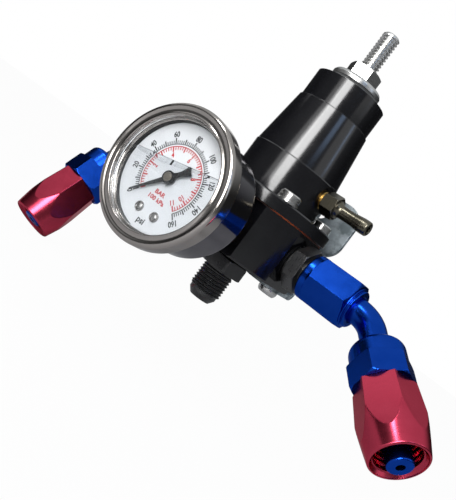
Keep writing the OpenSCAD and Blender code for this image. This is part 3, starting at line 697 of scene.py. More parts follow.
def dress(material: bpy.types.Material, *nodes: str) -> None:
    """Gives solids that keep their own shape a finish.

    Args:
        material: The finish.
        nodes: Names of the solids.
    """
    for name in nodes:
        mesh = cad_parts[name].data
        mesh.materials.clear()
        mesh.materials.append(material)
        LOG.info("%s: solid dressed as %s", name, material.name)


# Sub-assemblies


@dataclass
class Regulator:
    """The body, bonnet, fasteners, bracket and inner pieces that keep their solids, and a bare rim."""

    rim_r: float = 10.6
    rim_top: float = 74.46
    bevel: float = 0.75

    def build(self) -> None:
        """Dresses every solid of the regulator and its bracket."""
        dress(BLACK.material(UPRIGHT), "base_body", "bonnet")
        dress(BRIGHT.material(UPRIGHT), "flange_screws", "flange_washers", "bracket_screws", "jam_nut")
        dress(PLAIN.material(UPRIGHT), "lower_plate", "upper_plate", "plate_nut", "spring_seat")
        dress(BRASS.material(UPRIGHT), "valve_seat")
        dress(ZINC.material(), "bracket")
        dress(RUBBER.material(), "valve_disc", "right_adapter_seal", "left_adapter_seal",
              "return_adapter_seal", "right_swivel_seal", "left_swivel_seal", "fill_plug")
        self.bare_bevel()

    def bare_bevel(self) -> None:
        """Turns the bare bevelled ring round the bonnet's rim, under the jam nut."""
        inner, outer = self.rim_r - 0.3, self.rim_r + self.bevel
        low, edge = self.rim_top - 2.6, self.rim_top - 1.0
        points = np.array([[inner, low], [outer, low], [outer, edge], [self.rim_r + 0.1, self.rim_top],
                           [inner, self.rim_top]])
        skin = Skin(UPRIGHT).grid(lathe(refined(rounded(points, 0.15, 4), 0.5), 120))
        skin.build("bonnet_bevel", ROOT, Slot.BRIGHT, BARE.material(UPRIGHT))


@dataclass
class Spring:
    """The regulator's spring, in two lengths that meet on a coil that stays put.

    Each length is laid where it lies now; neither is tied to its seat.
    """

    wire_r: float = 1.4
    coil_r: float = 9.2
    turns: float = 7.0
    low: float = 15.15
    high: float = 56.55
    end_gap: float = 0.1
    meet: float = 2.0
    per_turn: int = 56
    sides: int = 24

    def build(self) -> None:
        """Winds the foot, next to the valve's plate, and the head, next to the spring seat."""
        material = SPRING.material(UPRIGHT)
        dead_foot, middle, dead_head = (float(self.height(n)) for n in (1.0, self.meet, self.turns - 1))
        for name, seat, first, last, dead, up in (
            ("spring_foot", "valve", 0.0, self.meet, dead_foot, -1),
            ("spring_head", "spring_carrier", self.meet, self.turns, dead_head, 1),
        ):
            start, end = middle + up * self.wire_r, dead - up * self.wire_r
            bend = Bend(ROOT, seat, (0.0, 0.0, start), (0.0, 0.0, end))
            skin = Skin(UPRIGHT).grid(self.coil(first, last), (False, True))
            skin.build(name, bend, Slot.SPRING, material, ["regulator_spring"])

    def height(self, turn: np.ndarray | float) -> np.ndarray:
        """Height of the wire's middle: up by one wire over the first and last turn, and evenly between."""
        pitch = 2 * self.wire_r + self.end_gap
        turns = [0, 1, self.turns - 1, self.turns]
        return np.interp(turn, turns, [self.low, self.low + pitch, self.high - pitch, self.high])

    def coil(self, first: float, last: float) -> np.ndarray:
        """Carries the wire's circle round the helix from one turn to another, and closes both ends.

        Args:
            first: Turn that the wire starts at.
            last: Turn that it ends at.

        Returns:
            A grid of points, stations along the wire by stations round it.
        """
        turn = np.linspace(first, last, int(self.per_turn * (last - first)) + 1)
        turn = np.concatenate([turn[:1], turn, turn[-1:]])[:, None]
        thick = np.full_like(turn, self.wire_r)
        thick[[0, -1]] = 0
        b = np.linspace(0, 2 * np.pi, self.sides, endpoint=False)[None]
        r, angle = self.coil_r + thick * np.cos(b), 2 * np.pi * turn
        return np.stack([r * np.cos(angle), r * np.sin(angle), self.height(turn) + thick * np.sin(b)], -1)


@dataclass
class Diaphragm:
    """The membrane between body and bonnet, in wedges that reach from the clamped rim to the plates."""

    hole_r: float = 2.55
    outer_r: float = 27.6
    low: float = 11.2
    high: float = 11.7
    bolts: int = 4
    bolt_at: float = 24.6
    bolt_turn: float = 42.0
    bolt_hole_r: float = 2.6
    wedges: int = 12
    held_r: float = 13.5
    plate_r: float = 12.05
    across: int = 10
    along: int = 36
    loops: int = 20

    def build(self) -> None:
        """Builds each wedge, with a hole where a bolt goes through."""
        material = MEMBRANE.material()
        for count in range(self.wedges):
            bolted = count % (self.wedges // self.bolts) == 0
            middle = math.radians(self.bolt_turn + 360 / self.wedges * count)
            ray = np.array([math.cos(middle), math.sin(middle), 0.0])
            bend = Bend(ROOT, "valve", tuple(self.held_r * ray), tuple(self.plate_r * ray))
            skin = Skin(UPRIGHT).grid(self.wedge(middle, self.bolt_hole_r if bolted else 0.0))
            skin.build(f"diaphragm_{count + 1}", bend, Slot.MEMBRANE, material, ["diaphragm"])

    def wedge(self, middle: float, hole: float) -> np.ndarray:
        """One wedge: a rectangle of angle and radius, whose loops shrink evenly to the bolt hole.

        The loops go out over the back and in over the front. Neighbours share the points of their edge.

        Args:
            middle: Angle of the wedge's middle in radians.
            hole: Radius of the bolt hole, or 0 for none.

        Returns:
            A grid of points, loops by stations round the outline.
        """
        half = np.pi / self.wedges
        angles = np.linspace(-half, half, self.across + 1)
        radii = np.linspace(self.hole_r, self.outer_r, self.along + 1)
        outline = np.concatenate([
            np.stack([angles[:-1], np.full(self.across, self.outer_r)], -1),
            np.stack([np.full(self.along, half), radii[:0:-1]], -1),
            np.stack([angles[:0:-1], np.full(self.across, self.hole_r)], -1),
            np.stack([np.full(self.along, -half), radii[:-1]], -1),
        ])
        around = np.arctan2(outline[:, 0] * self.bolt_at, outline[:, 1] - self.bolt_at)
        x, y = self.bolt_at + hole * np.cos(around), hole * np.sin(around)
        rim = np.stack([np.arctan2(y, x), np.hypot(x, y)], -1)
        share = np.linspace(0, 1, self.loops)
        share = np.concatenate([share, share[::-1]])[:, None, None]
        spread = rim + share * (outline - rim)
        angle, r = spread[..., 0] + middle, spread[..., 1]
        z = np.repeat([self.low, self.high], self.loops)[:, None]
        return np.stack([r * np.cos(angle), r * np.sin(angle), np.broadcast_to(z, r.shape)], -1)


@dataclass
class Adjuster:
    """The threaded adjusting screw with a hexagon key socket in its top."""

    radius: float = 3.9
    low: float = 59.55
    high: float = 97.8
    pitch: float = 1.5
    depth: float = 0.72
    edge: float = 0.8
    key: float = 4.0
    key_depth: float = 4.5

    def build(self) -> None:
        """Turns the screw: an outline with the thread cut in its side and the key cut in its top."""
        key_r = self.key / 2 / math.cos(math.pi / 6)
        floor = self.high - self.key_depth
        heights = np.linspace(self.low + self.edge, self.high - self.edge, 330)
        side = np.stack([np.full_like(heights, self.radius), heights], 1)
        outline = np.concatenate([
            [[0, self.low], [self.radius - self.edge, self.low]], side,
            [[self.radius - self.edge, self.high], [key_r + 0.25, self.high], [key_r, self.high - 0.25],
             [key_r, floor], [0, floor - 0.8]],
        ])

        def cut(angle: np.ndarray, r: np.ndarray, z: np.ndarray) -> np.ndarray:
            """Cuts the thread into the side and the hexagon into the socket."""
            is_side = r > self.radius - 1e-6
            is_key = np.abs(r - key_r) < 1e-6
            ends = (self.low - self.pitch, self.high - self.edge + 0.2)
            threaded = r - thread(angle, z, self.pitch, self.depth, ends)
            return np.where(is_side, threaded, np.where(is_key, hexagon(angle, self.key), r))

        skin = Skin(UPRIGHT).grid(lathe(outline, 60, cut), (True, False))
        skin.build("adjusting_screw_thread", "adjuster", Slot.BRIGHT, BRIGHT.material(UPRIGHT),
                   ["adjusting_screw"])


@dataclass
class FlareFitting:
    """A black port fitting: threaded shank, hexagon, threaded nose and flared seat, bored through."""

    name: str
    place: Place
    base: float
    hex_len: float
    tip: float
    deep: float
    clock: float = 0.0
    across: float = 17.5
    thread_r: float = 7.1
    neck_r: float = 6.4
    bore_r: float = 3.6
    seal_gap: float = 1.5
    pitch: float = 1.41
    depth: float = 0.62
    flare_root_r: float = 6.2
    flare_tip_r: float = 4.5
    flare_angle: float = 37.0
    chamfer: float = 0.8

    def build(self) -> None:
        """Turns the fitting and cuts its hexagon and both threads."""
        corner = self.across / 2 / math.cos(math.pi / 6)
        edge = corner - self.chamfer
        flare = (self.flare_root_r - self.flare_tip_r) / math.tan(math.radians(self.flare_angle))
        thread_end = self.tip - flare - 1.4
        face = self.base - self.seal_gap
        hex_top = self.base + self.hex_len
        rise = self.chamfer * math.tan(math.radians(30))
        points = np.array([
            [self.bore_r, face - self.deep], [self.thread_r, face - self.deep], [self.thread_r, face - 0.5],
            [self.neck_r, face - 0.4], [self.neck_r, self.base], [edge, self.base],
            [corner, self.base + rise], [corner, hex_top - rise], [edge, hex_top], [self.neck_r, hex_top],
            [self.neck_r, hex_top + 0.6], [self.thread_r, hex_top + 1.2], [self.thread_r, thread_end - 0.6],
            [self.flare_root_r, thread_end], [self.flare_root_r, self.tip - flare],
            [self.flare_tip_r, self.tip], [self.bore_r, self.tip],
        ])
        outline = refined(points, 0.14)
        low_span = (face - self.deep - 1.0, face - 0.2)
        high_span = (hex_top + 0.7, thread_end + 0.2)

        def cut(angle: np.ndarray, r: np.ndarray, z: np.ndarray) -> np.ndarray:
            """Cuts the flats and the threads."""
            flats = np.minimum(r, hexagon(angle, self.across, math.radians(self.clock)))
            grooves = np.maximum(thread(angle, z, self.pitch, self.depth, low_span),
                                 thread(angle, z, self.pitch, self.depth, high_span))
            outer = r > self.neck_r + 0.3
            in_hex = (z > self.base - 1e-6) & (z < hex_top + 1e-6)
            return np.where(in_hex, flats, np.where(outer, np.maximum(r - grooves, self.neck_r), r))

        skin = Skin(self.place).grid(lathe(outline, 96, cut))
        skin.build(self.name + "_fitting", ROOT, Slot.BLACK, FITTING.material(self.place), [self.name])


@dataclass
class VacuumNipple:
    """The small hose nipple in the bonnet's side, with its bare brass thread showing at the root."""

    across: float = 9.0
    hex_at: float = 20.6
    hex_len: float = 6.0
    barrel: float = 2.6
    tip: float = 42.0
    bore: float = 1.25
    thread_r: float = 3.4
    start: float = 14.2
    sleeve_r: float = 3.95
    sleeve_at: float = 19.2
    pitch: float = 0.9
    depth: float = 0.5

    def build(self) -> None:
        """Turns the nipple and winds its thread."""
        corner = self.across / 2 / math.cos(math.pi / 6)
        end = self.hex_at + self.hex_len
        points = np.concatenate([
            [[self.bore, self.start], [self.thread_r, self.start], [self.thread_r, self.hex_at],
             [corner - 0.6, self.hex_at], [corner, self.hex_at + 0.35], [corner, end - 0.35],
             [corner - 0.6, end], [3.7, end]],
            arc((5.2, end + 2.6), 2.6, 235, 180, 6),
            [[self.barrel, self.tip - 9.0], [self.barrel + 0.12, self.tip - 7.0],
             [self.barrel + 0.45, self.tip - 3.4], [self.barrel + 0.45, self.tip - 2.0]],
            arc((self.barrel - 0.55, self.tip - 1.0), 1.0, 20, 90, 6),
            [[self.bore + 0.3, self.tip], [self.bore, self.tip - 0.3]],
        ])
        outline = refined(points, 0.3)

        def cut(angle: np.ndarray, r: np.ndarray, z: np.ndarray) -> np.ndarray:
            """Cuts the hexagon's flats."""
            in_hex = (z > self.hex_at - 1e-6) & (z < end + 1e-6)
            return np.where(in_hex, np.minimum(r, hexagon(angle, self.across)), r)

        skin = Skin(NIPPLE).grid(lathe(outline, 72, cut))
        skin.build("vacuum_nipple_turned", ROOT, Slot.NICKEL, NICKEL.material(NIPPLE), ["vacuum_nipple"])
        self.thread()

    def thread(self) -> None:
        """Adds a sleeve of bare brass thread between the bonnet's flat and the hexagon."""
        heights = np.linspace(self.sleeve_at, self.hex_at + 0.05, 40)
        side = np.stack([np.full_like(heights, self.sleeve_r), heights], 1)
        inner = self.thread_r - 0.1
        outline = np.concatenate([[[inner, heights[0]]], side, [[inner, heights[-1]]]])
        span = (18.0, 22.0)

        def cut(angle: np.ndarray, r: np.ndarray, z: np.ndarray) -> np.ndarray:
            """Cuts the grooves."""
            return np.where(r > inner + 0.5, r - thread(angle, z, self.pitch, self.depth, span), r)

        skin = Skin(NIPPLE).grid(lathe(outline, 48, cut))
        skin.build("vacuum_nipple_thread", ROOT, Slot.NICKEL, GOLD.material(NIPPLE))


@dataclass
class HoseEnd:
    """A swivel nut, a bent tube and the swivelling hose end with its clamp socket."""

    side: str
    corner: float
    bend: float
    clock: float
    nut_start: float = 34.0
    nut_end: float = 57.0
    nut_across: float = 18.5
    tube_r: float = 5.2
    tube_wall: float = 1.8
    nose_at: float = 44.4
    bend_r: float = 15.0
    shoulder: float = 15.2
    socket_at: float = 32.4
    socket_len: float = 27.0
    hex_across: float = 20.0
    flat: float = 9.25
    flat_tilt: float = 3.6
    mouth_r: float = 9.7
    nipple_r: float = 4.25
    nipple_bore_r: float = 1.5
    passage_r: float = 2.8
    nose_r: float = 7.15
    tube_bore_r: float = 5.35
    swivel_bore_r: float = 5.25
    stub_r: float = 6.9
    throat_r: float = 6.95
    bore_r: float = 8.0
    hose_pitch: float = 2.2
    hose_groove: float = 0.45
    full_r: float = 11.6
    lip: float = 0.72
    nut_turn: float = 30.0
    hex_turn: float = 0.0
    flat_turn: float = 0.0
    nipple_past: float = -0.3
    port: Place = field(init=False)
    outlet: Place = field(init=False)

    def __post_init__(self) -> None:
        """Works out the frames of the port and the outlet."""
        sign = 1 if self.side == "right" else -1
        self.port = RIGHT_PORT if sign > 0 else LEFT_PORT
        self.outlet = outlet(self.corner, self.bend, self.clock, sign)

    def build(self) -> None:
        """Builds the nut, the tube, the hose body and the socket."""
        self.nut()
        self.tube()
        self.hose_body()
        self.socket()

    def nut(self) -> None:
        """Turns the swivel nut: collar, hexagon and a grooved tail, bored for the nose and the tube."""
        corner = self.nut_across / 2 / math.cos(math.pi / 6)
        a, b = self.nut_start, self.nut_end
        collar, hex_end = a + 3.2, b - 1.8
        shoulder = 48.8
        points = np.array([
            [self.nose_r, a + 0.4], [7.6, a], [8.8, a], [9.5, a + 0.7], [9.5, collar], [corner, collar + 0.9],
            [corner, hex_end - 1.0], [corner - 1.6, hex_end], [8.2, hex_end], [8.2, hex_end + 0.4],
            [7.5, hex_end + 0.5], [7.5, hex_end + 0.9], [7.9, hex_end + 1.1], [7.9, b - 0.4], [7.5, b],
            [self.tube_bore_r, b], [self.tube_bore_r, shoulder], [self.nose_r, shoulder],
        ])
        outline = refined(rounded(points, 0.22, 4), 0.5)

        def cut(angle: np.ndarray, r: np.ndarray, z: np.ndarray) -> np.ndarray:
            """Cuts the flats."""
            inside = (z > collar - 0.05) & (z < hex_end + 0.02) & (r > 8.7)
            flats = hexagon(angle, self.nut_across, math.radians(self.nut_turn))
            return np.where(inside, np.minimum(r, flats), r)

        skin = Skin(self.port).grid(lathe(outline, 180, cut))
        skin.build(f"{self.side}_swivel_nut_turned", ROOT, Slot.BLUE, BLUE.material(self.port),
                   [f"{self.side}_swivel_nut"])

    def tube(self) -> None:
        """Sweeps the bent tube: its wall goes down the outside of the centre line and back up the bore.

        The centre line lies in the outlet's YZ plane: a straight from the nut, an arc, then the outlet.
        """
        turn = math.radians(self.bend)
        run = self.bend_r * math.tan(turn / 2)
        into = np.array([0.0, math.sin(turn), -math.cos(turn)])
        bow = np.linspace(turn, 0, 33)
        ring = np.stack([0 * bow, self.bend_r * (1 - np.cos(bow)), run - self.bend_r * np.sin(bow)], 1)
        start = into * (self.corner - self.nose_at)
        straight = start + (ring[0] - start) * np.linspace(0, 1, 12)[:-1, None]
        tail = np.array([0.0, 0.0, 1.0]) * np.linspace(run, self.shoulder + 7.4, 9)[1:, None]
        path = np.concatenate([straight, ring, tail])
        outer = np.full(len(path), self.tube_r)
        wall = sweep(path, outer, (1.0, 0.0, 0.0), 64)
        bore = sweep(path, outer - self.tube_wall, (1.0, 0.0, 0.0), 64)
        skin = Skin(self.outlet).grid(np.concatenate([wall, bore[:, ::-1]], 1))
        skin.build(f"{self.side}_elbow_tube", ROOT, Slot.BLUE, BLUE.material(self.outlet),
                   [f"{self.side}_elbow"])

    def hose_body(self) -> None:
        """Turns the swivelling body: domed shoulder, hexagon, stub and nipple, bored through."""
        corner = self.hex_across / 2 / math.cos(math.pi / 6)
        hex_at = self.shoulder + 7.6
        stub = self.socket_at + 7
        seat = self.shoulder + 8
        tip = self.socket_at + self.socket_len + self.nipple_past
        points = np.concatenate([
            [[self.swivel_bore_r, self.shoulder]], arc((7.6, self.shoulder + 2.4), 2.4, -90, 0, 10),
            [[10.0, hex_at], [corner - 0.3, hex_at + 0.15], [corner, hex_at + 0.5],
             [corner, self.socket_at - 0.7], [corner - 0.9, self.socket_at], [self.stub_r, self.socket_at],
             [self.stub_r, stub], [self.nipple_r, stub], [self.nipple_r, tip - 0.9]],
            arc((self.nipple_r - 0.7, tip - 0.7), 0.7, 0, 90, 6),
            [[self.nipple_bore_r, tip], [self.nipple_bore_r, tip - 4], [self.passage_r, tip - 4.2],
             [self.passage_r, seat], [self.swivel_bore_r, seat]],
        ])
        outline = refined(points, 0.5)

        def cut(angle: np.ndarray, r: np.ndarray, z: np.ndarray) -> np.ndarray:
            """Cuts the flats."""
            inside = (z > hex_at - 0.01) & (z < self.socket_at + 0.01)
            flats = hexagon(angle, self.hex_across, math.radians(self.hex_turn))
            return np.where(inside, np.minimum(r, flats), r)

        skin = Skin(self.outlet).grid(lathe(outline, 180, cut))
        skin.build(f"{self.side}_hose_body_turned", f"{self.side}_hose", Slot.BLUE,
                   BLUE.material(self.outlet), [f"{self.side}_hose_body"])

    def socket(self) -> None:
        """Turns the clamp socket, mills six sloped flats that run out in arches and threads its bore."""
        low = self.socket_at + 0.05
        high = self.socket_at + self.socket_len
        t = np.linspace(0, 1, 24)
        bulge = np.stack([self.full_r - (self.full_r - self.mouth_r) * t**1.25, low + 11 + t * 15.3], 1)
        bore = self.bore_r
        points = np.concatenate([
            [[self.throat_r, low], [self.full_r - 0.4, low], [self.full_r, low + 0.4]], bulge,
            arc((self.mouth_r - self.lip, high - self.lip), self.lip, 10, 90, 7),
            [[bore + 0.9, high], [bore + 0.75, high - 0.4], [bore, high - 1.4], [bore, low + 8],
             [self.throat_r, low + 7.4]],
        ])
        outline = refined(points, 0.28)
        slope = math.tan(math.radians(self.flat_tilt))
        span = (low + 8.2, high - 1.5)

        def cut(angle: np.ndarray, r: np.ndarray, z: np.ndarray) -> np.ndarray:
            """Mills the flats and cuts the coarse hose thread in the bore."""
            sector = np.pi / 3
            aside = (angle - math.radians(self.flat_turn) + sector / 2) % sector - sector / 2
            flats = (self.flat + (z - low) * slope) / np.cos(aside)
            outer = r > bore + 0.6
            in_bore = (np.abs(r - bore) < 0.02) & (z > span[0]) & (z < span[1])
            ridge = self.hose_groove - thread(angle, z, self.hose_pitch, self.hose_groove, span)
            return np.where(outer, np.minimum(r, flats), np.where(in_bore, r - ridge, r))

        skin = Skin(self.outlet).grid(lathe(outline, 240, cut))
        skin.build(f"{self.side}_socket_milled", f"{self.side}_hose", Slot.RED, RED.material(self.outlet),
                   [f"{self.side}_socket"], sharp=14.0)


@dataclass
class Lettering:
    """One word or number on the dial."""

    words: str
    at: tuple[float, float]
    height: float
    turn: float = 0.0
    narrow: float = 0.8


@dataclass
class Gauge:
    """The liquid-filled pressure gauge: bezel, lens, printed dial and the line of its liquid."""

    face: float = 62.0
    zero: float = -135.0
    sweep: float = 270.0
    psi_max: float = 160.0
    psi_per_bar: float = 14.5038
    arc_r: float = 12.4
    red_r: float = 11.6
    ink: float = 0.03
    lens_back: float = 64.8
    liquid_r: float = 20.0
    fill: float = 5.8
    fill_slope: float = 0.174
    film: float = 0.1
    bead: float = 1.6
    bead_t: float = 0.24
    band: tuple[float, float] = (2.6, 0.9)
    rivet_at: tuple[float, float] = (3.8, -13.4)
    blade_at: float = 63.1
    blade_t: float = 0.4
    type_scale: float = 1.35

    def build(self) -> None:
        """Dresses the gauge's solids and adds its turned pieces, its print and the face of its liquid."""
        self.solids()
        self.bezel()
        self.pointer()
        self.rivets()
        self.print()
        self.liquid()
        self.meniscus()

    def pointer(self) -> None:
        """Cuts the pointer: strips end to end, with half width a broken line over the length, and a hub."""
        stations = [-8.4, -8.1, -4.7, -3.9, -2.2, 0.0, 15.5]
        halves = [1.45, 1.7, 0.85, 0.8, 0.95, 0.9, 0.18]
        s = np.linspace(stations[0], stations[-1], 97)
        w = np.interp(s, stations, halves)
        left, right = np.stack([-w, s], 1), np.stack([w, s], 1)
        outlines = np.stack([left[:-1], right[:-1], right[1:], left[1:]], 1)
        place = Place(DIAL.origin, DIAL.turn @ turn_about("Z", -self.zero))
        low, high = self.blade_at - 0.4, self.blade_at + 1.0
        hub = rounded(np.array([[0.85, low], [2.3, low], [2.3, high], [0.85, high]]), 0.2, 5)
        skin = Skin(place).slabs(outlines, self.blade_at, self.blade_at + self.blade_t).grid(lathe(hub, 48))
        skin.build("gauge_pointer_blade", "pointer", Slot.INK, DIAL_BLACK.material(), ["gauge_pointer"])

    def rivets(self) -> None:
        """Turns the two heads that hold the dial: a raised rim, a groove and a domed middle."""
        rim = [[0.0, 60.9], [0.8, 60.9], [0.8, 62.02], [1.75, 62.02], [1.75, 62.4], [1.6, 62.6],
               [1.35, 62.6], [1.2, 62.3]]
        points = np.concatenate([rim, arc((0.0, 60.6), 2.2, 60, 90, 9)])
        outline = refined(points, 0.2, closed=False)
        for name, side in (("left", -1), ("right", 1)):
            spot = DIAL.turn @ np.array([side * self.rivet_at[0], self.rivet_at[1], 0.0])
            place = Place(tuple(spot + np.array(DIAL.origin)), DIAL.turn)
            skin = Skin(place).grid(lathe(outline, 40), (True, False))
            skin.build(f"dial_rivet_{name}", ROOT, Slot.STAINLESS, RIVET.material(place), ["dial_screws"])

    def meniscus(self) -> None:
        """Adds the band that the liquid's edge makes on the lens: slabs laid end to end under the line."""
        x = np.linspace(-0.88, 0.88, 61) * self.liquid_r
        line = self.fill + self.fill_slope * x
        share = (x / self.liquid_r + 1) / 2
        deep = self.band[0] + (self.band[1] - self.band[0]) * share
        below = line - deep * np.sqrt(np.sin(np.pi * share))
        upper, lower = np.stack([x, line], 1), np.stack([x, below], 1)
        outlines = np.stack([lower[:-1], lower[1:], upper[1:], upper[:-1]], 1)
        skin = Skin(DIAL).slabs(outlines, self.lens_back - 0.5, self.lens_back - 0.4)
        skin.build("gauge_liquid_edge", ROOT, Slot.LENS, MENISCUS.material())

    def solids(self) -> None:
        """Dresses the solids that keep their shape."""
        dress(POLISHED.material(DIAL), "gauge_case")
        dress(BRASS.material(DIAL), "gauge_stem", "sector_gear", "movement_back_plate",
              "movement_front_plate", "bourdon_tube")
        dress(ARBOR.material(DIAL), "pointer_arbor")
        dress(PLAIN.material(DIAL), "drive_link")
        dress(DIAL_PAINT.material(), "gauge_dial")
        dress(DIAL_BLACK.material(), "dial_ring")
        dress(LENS.material(), "gauge_lens")

    def bezel(self) -> None:
        """Turns the rolled bezel: a round rim, a shallow hollow, a bead and the wall down to the lens."""
        points = np.array([
            [22.3, 60.9], [24.7, 60.9], [25.4, 61.6], [25.4, 66.7], [25.0, 67.6], [24.1, 68.0],
            [23.5, 67.85], [22.9, 67.55], [21.9, 67.6], [21.4, 67.95], [20.95, 67.85], [20.8, 67.4],
            [20.8, 64.75], [20.2, 64.75], [20.2, 63.7], [24.5, 63.7], [24.5, 61.9], [22.3, 61.9],
        ])
        outline = rounded(points, 0.45, 6)
        skin = Skin(DIAL).grid(lathe(outline, 160))
        skin.build("gauge_bezel_rolled", ROOT, Slot.STAINLESS, STAINLESS.material(DIAL), ["gauge_bezel"],
                   sharp=50.0)

    def liquid(self) -> None:
        """Fills the space behind the lens up to a tilted line, as a thin film with a bead along its edge.

        The film is a half disc: columns across the gauge, each from the circle up to the line
        y = fill + slope x. Its thickness swells from the film's to the bead's over the last stretch.
        """
        reach = self.liquid_r
        span = reach / math.hypot(1.0, self.fill_slope) - 0.4
        x = np.linspace(-span, span, 81)[:, None]
        line = self.fill + self.fill_slope * x
        bottom = -np.sqrt(np.maximum(reach**2 - x**2, 0.0))
        line = np.minimum(line, -bottom)
        t = (1 - np.cos(np.pi * np.linspace(0, 1, 41))) / 2
        y = bottom + (line - bottom) * t[None]
        near = np.clip((line - y) / self.bead, 0, 1)
        swell = np.sqrt(np.maximum(1 - (2 * near - 1) ** 2, 0)) * (near < 1)
        edge = np.sqrt(np.clip(np.minimum(line - y, y - bottom) / 0.1, 0, 1))
        front = np.full_like(y, self.lens_back - 0.02)
        thick = (self.film + (self.bead_t - self.film) * swell) * edge
        wide = np.broadcast_to(x, y.shape)
        faces = [np.stack([wide, y, front], -1), np.stack([wide, y, front - thick], -1)]
        skin = Skin(DIAL).grid(np.concatenate([faces[0], faces[1][:, ::-1]], 1), (False, True))
        skin.build("gauge_liquid", ROOT, Slot.LENS, LIQUID.material())

    def clock(self, psi: np.ndarray) -> np.ndarray:
        """Clock angle of a pressure in radians, from twelve o'clock."""
        return np.radians(self.zero + self.sweep * np.asarray(psi) / self.psi_max)

    def ticks(self, psi: np.ndarray, inner: np.ndarray, outer: np.ndarray, width: np.ndarray) -> np.ndarray:
        """Outlines of scale marks: each is a bar along the radius at its clock angle.

        Args:
            psi: The marks' pressures.
            inner: Their inner radii.
            outer: Their outer radii.
            width: Their widths.

        Returns:
            Four corners for each mark.
        """
        a = self.clock(psi)
        out = np.stack([np.sin(a), np.cos(a)], 1)[:, None]
        side = np.stack([np.cos(a), -np.sin(a)], 1)[:, None]
        r = np.stack([inner, outer, outer, inner], 1)[..., None]
        w = (width[:, None] * np.array([0.5, 0.5, -0.5, -0.5]))[..., None]
        return out * r + side * w

    def strip(self, radius: float, width: float) -> np.ndarray:
        """A thin printed arc over the whole scale, as a ring of short slabs laid end to end."""
        a = self.clock(np.linspace(0, self.psi_max, 121))
        ends = np.stack([np.sin(a), np.cos(a)], 1)
        inner, outer = ends * (radius - width / 2), ends * (radius + width / 2)
        return np.stack([inner[:-1], outer[:-1], outer[1:], inner[1:]], 1)[:, ::-1]

    def print(self) -> None:
        """Prints the black scale of pounds and the red scale of bars, with their numbers and units."""
        psi = np.arange(0, self.psi_max + 1, 2.0)
        ten, twenty = psi % 10 == 0, psi % 20 == 0
        outer = self.arc_r + np.where(twenty, 2.3, np.where(ten, 1.9, 1.35))
        black = self.ticks(psi, np.full_like(psi, self.arc_r), outer, np.where(ten, 0.44, 0.32))
        bar = np.arange(0, 11.01, 0.2)
        whole = np.isclose(bar % 1.0, 0.0) | np.isclose(bar % 1.0, 1.0)
        inner = self.red_r - np.where(whole, 1.9, 1.25)
        outer = np.full_like(bar, self.red_r)
        red = self.ticks(bar * self.psi_per_bar, inner, outer, np.where(whole, 0.5, 0.34))
        low, high = self.face - 0.01, self.face + self.ink
        ink, scarlet = DIAL_BLACK.material(), RED_INK.material()
        skin = Skin(DIAL).slabs(black, low, high).slabs(self.strip(self.arc_r, 0.24), low, high)
        skin.build("dial_black_scale", ROOT, Slot.INK, ink)
        skin = Skin(DIAL).slabs(red, low, high).slabs(self.strip(self.red_r, 0.3), low, high)
        skin.build("dial_red_scale", ROOT, Slot.INK, scarlet)
        numbers = [self.on_ring(str(v), float(v), 15.9, 2.1) for v in range(0, 161, 20)]
        self.letter("dial_black_numbers", [*numbers, Lettering("psi", (0.0, -17.0), 2.3, narrow=1.0)], ink)
        bars = [self.on_ring(str(v), v * self.psi_per_bar, 8.5, 1.9) for v in (2, 4, 6, 8, 10, 11)]
        units = [Lettering("BAR", (0.0, -6.0), 1.6, narrow=1.15),
                 Lettering("100 kPa", (0.0, -8.4), 1.6, narrow=1.15)]
        self.letter("dial_red_numbers", [*bars, *units], scarlet)

    def on_ring(self, words: str, psi: float, radius: float, height: float) -> Lettering:
        """A number that stands on a circle with its top outwards."""
        a = float(self.clock(np.array(psi)))
        return Lettering(words, (radius * math.sin(a), radius * math.cos(a)), height, -a)

    def letter(self, name: str, items: Sequence[Lettering], material: bpy.types.Material) -> None:
        """Makes one mesh of printed words from the built-in typeface.

        Args:
            name: Name of the piece.
            items: The words.
            material: Their ink.
        """
        work = bmesh.new()
        for item in items:
            curve = bpy.data.curves.new(name, "FONT")
            curve.body = item.words
            curve.align_x, curve.align_y = "CENTER", "CENTER"
            curve.resolution_u = 3
            curve.extrude = 0.5
            curve.offset = 0.028
            text = bpy.data.objects.new(name, curve)
            mesh = bpy.data.meshes.new_from_object(text)
            tall = item.height * self.type_scale
            spot = Matrix.Translation((*item.at, self.face + self.ink / 2))
            turn = Matrix.Rotation(item.turn, 4, "Z")
            mesh.transform(spot @ turn @ Matrix.Diagonal((tall * item.narrow, tall, self.ink, 1)))
            work.from_mesh(mesh)
            bpy.data.objects.remove(text)
            bpy.data.curves.remove(curve)
            bpy.data.meshes.remove(mesh)
        bmesh.ops.remove_doubles(work, verts=work.verts, dist=1e-4)
        mesh = bpy.data.meshes.new(name)
        work.to_mesh(mesh)
        work.free()
        points = np.empty(len(mesh.vertices) * 3, np.float32)
        mesh.vertices.foreach_get("co", points)
        placed = DIAL.to_row(points.reshape(-1, 3).astype(float))
        mesh.vertices.foreach_set("co", placed.astype(np.float32).ravel())
        mesh.update()
        settle(mesh, name, ROOT, material)


# Stage


